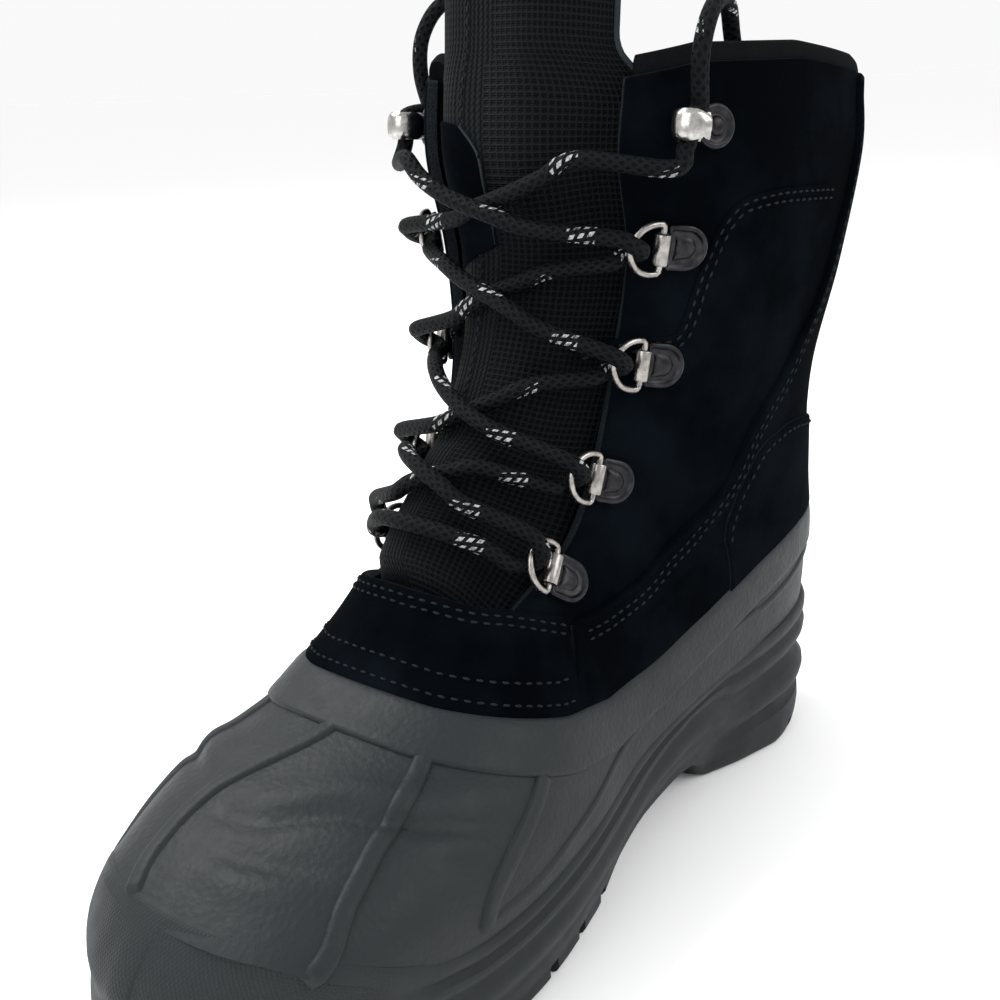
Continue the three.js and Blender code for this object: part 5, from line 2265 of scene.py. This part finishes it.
    def _hook(self, station: Station, side: int, node: str) -> None:
        """The riveted disc and the curled strip that holds the lace.

        Args:
            station: Where it stands.
            side: 1 for the left, -1 for the right.
            node: The CAD node that it stands for.
        """
        rings = [
            [(r * math.cos(t), r * math.sin(t), z) for t in round_angles(32)] for r, z in self.disc_profile
        ]
        disc = self._stand(station, side, np.array(rings))
        Maker.solid_rings(f"{node}_disc", disc, NICKEL_DARK, replaces=[node])
        curl = smooth_way(np.array([(x, 0, z) for x, z in self.curl]), 0.7)
        tangent = np.gradient(curl, axis=0)
        normal = np.stack((-tangent[:, 2], 0 * tangent[:, 0], tangent[:, 0]), axis=1)
        normal = unit(normal)
        half, wall = self.curl_width / 2, self.curl_wall / 2
        taper = 1 - 0.35 * smoothstep(np.linspace(0, 1, len(curl)), 0.75, 1.0) ** 2
        over = [
            (y, wall * math.sqrt(1 - y**6) + self.crown * (1 - y * y)) for y in np.linspace(-1, 1, 11)[:-1]
        ]
        section = over + [(-y, -z) for y, z in over]
        rings = [
            [point + (0, y * half * t, 0) + n * z for y, z in section]
            for point, n, t in zip(curl, normal, taper)
        ]
        strap = self._stand(station, side, np.array(rings))
        Maker.solid_rings(f"{node}_curl", strap, NICKEL_BRIGHT, crisp=60)


# ---- lace ----


@dataclass
class Lace:
    """One round braided lace, from hook to hook through the rings, and its two free ends."""

    radius: float = 2.4
    low: float = 6.4
    high: float = 10.4
    start: float = 5.0  # height of a strand where it leaves a ring
    inside: float = 17.0  # degrees from a ring's place to the start of its strand
    left_end: Rows = (
        (126.5, 52.5, 230), (129.5, 54, 240), (129, 54.5, 247), (123.5, 53.5, 254), (114, 51, 257.5),
        (104, 47.5, 255.5), (97, 44.7, 249), (91.5, 43.3, 239), (88, 43, 226), (86.5, 43, 210),
        (86, 42.5, 194), (86, 41.5, 178),
    )  # fmt: skip
    right_end: Rows = (
        (113, -53.5, 230), (113.5, -56.5, 241), (112.5, -56, 252), (108, -52, 261), (99, -47, 264),
        (91, -42, 258), (87, -40, 247), (85, -39.5, 234), (84, -39.5, 219), (84, -39.5, 204),
        (84, -39, 190), (84, -38, 178),
    )  # fmt: skip
    # distance from an aglet's start, radius
    aglet: Rows = ((0, 1.7), (0.6, 2.0), (1.0, 2.0), (18.5, 1.9), (19.6, 1.6), (20.0, 0.9))

    def _strand(self, low: int, low_side: int, over: bool) -> list:
        """Middle points of the strand from a station to the next one up on the other side.

        Args:
            low: The lower station's number.
            low_side: Its side.
            over: True for the upper strand of a crossing.

        Returns:
            The points.
        """
        first, second = STATIONS[low], STATIONS[low + 1]
        height = self.high if over else self.low
        points = []
        for f in (0.24, 0.37, 0.5, 0.63, 0.76):
            place = first.place + (second.place - first.place) * f
            a = low_side * (first.turn - self.inside)
            b = -low_side * (second.turn - self.inside)
            angle = math.radians(a + (b - a) * f)
            out = self.start + (height - self.start) * math.sin(math.pi * f) ** 0.7
            points.append(BODY.point(np.array(place), np.array(angle), np.array(out)))
        return points

    def _through(self, index: int, side: int) -> list:
        """Points where the lace passes round a ring's bow, from the strand above to the one below.

        Args:
            index: The ring's station.
            side: Its side.

        Returns:
            The points.
        """
        local = ((16.5, 4.2, 7.6), (12.4, 2.9, 8.3), (9.2, 1.3, 7.2), (8.2, 0.0, 5.0), (9.2, -1.4, 2.7),
                 (12.6, -2.8, 1.9), (16.5, -4.2, 2.8))  # fmt: skip
        return STATIONS[index].lace_points(side, local)

    def _at_hook(self, side: int, end: Rows) -> list:
        """Points where the lace passes under a hook's curl, up to its free end."""
        local = ((15.5, -11, 5.0), (11.5, -6, 4.6), (10, -2, 4.6), (9, 3, 4.8))
        return STATIONS[-1].lace_points(side, local) + [np.array(end[0])]

    def way(self) -> Array:
        """The lace's whole way between its free ends.

        Returns:
            Its points, in mm.
        """
        points = self._at_hook(1, self.left_end)[::-1]
        side = -1
        for index in (3, 2, 1, 0):
            points += self._strand(index, side, over=side > 0)[::-1]
            points += self._through(index, side)
            side = -side
        angles = np.radians((24, 12, 0, -12, -24)) * -side
        points += list(BODY.point(np.full(5, 7.0), angles, np.array((6, 6.6, 6.8, 6.6, 6))))
        points += self._through(0, side)[::-1]
        for index in (0, 1, 2):
            points += self._strand(index, side, over=side > 0)
            side = -side
            points += self._through(index + 1, side)[::-1]
        points += self._strand(3, side, over=side > 0)
        points += self._at_hook(-1, self.right_end)
        return smooth_way(np.array(points), 1.3)

    def make(self) -> None:
        """Make the lace, its free ends and their aglets."""
        Maker.tube("lace_run", self.way(), self.radius, LACE, 14, replaces=["lace_crossings"])
        for word, end in (("left", self.left_end), ("right", self.right_end)):
            self._end(word, end)

    def _end(self, word: str, end: Rows) -> None:
        """One free end, with its aglet.

        Args:
            word: left or right.
            end: Stations of its way, in mm.
        """
        way = smooth_way(np.array(end, dtype=float), 1.3)
        down = way[-1] - way[-2]
        down = unit(down)
        cord = Maker.tube(f"lace_end_{word}_braid", way, self.radius, LACE, 14, replaces=[f"lace_end_{word}"])
        steps, radii = np.array(self.aglet).T
        tip = way[-1] + np.outer(steps + 0.1, down)
        aglet = Maker.tube(f"aglet_{word}_tip", tip, radii, AGLET, 14, replaces=[f"aglet_{word}"])


def main() -> None:
    """Build the boot's looks, piece by piece."""
    logging.basicConfig(level=logging.INFO, format="%(name)s: %(message)s")
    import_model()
    StudioCamera().make()
    stitching = Stitching()
    Lace().make()
    Outsole().make()
    RubberShell().make()
    Upper(stitching).make()
    Tongue(stitching).make()
    Fittings().make()
    Studio().make()


if __name__ == "__main__":
    main()
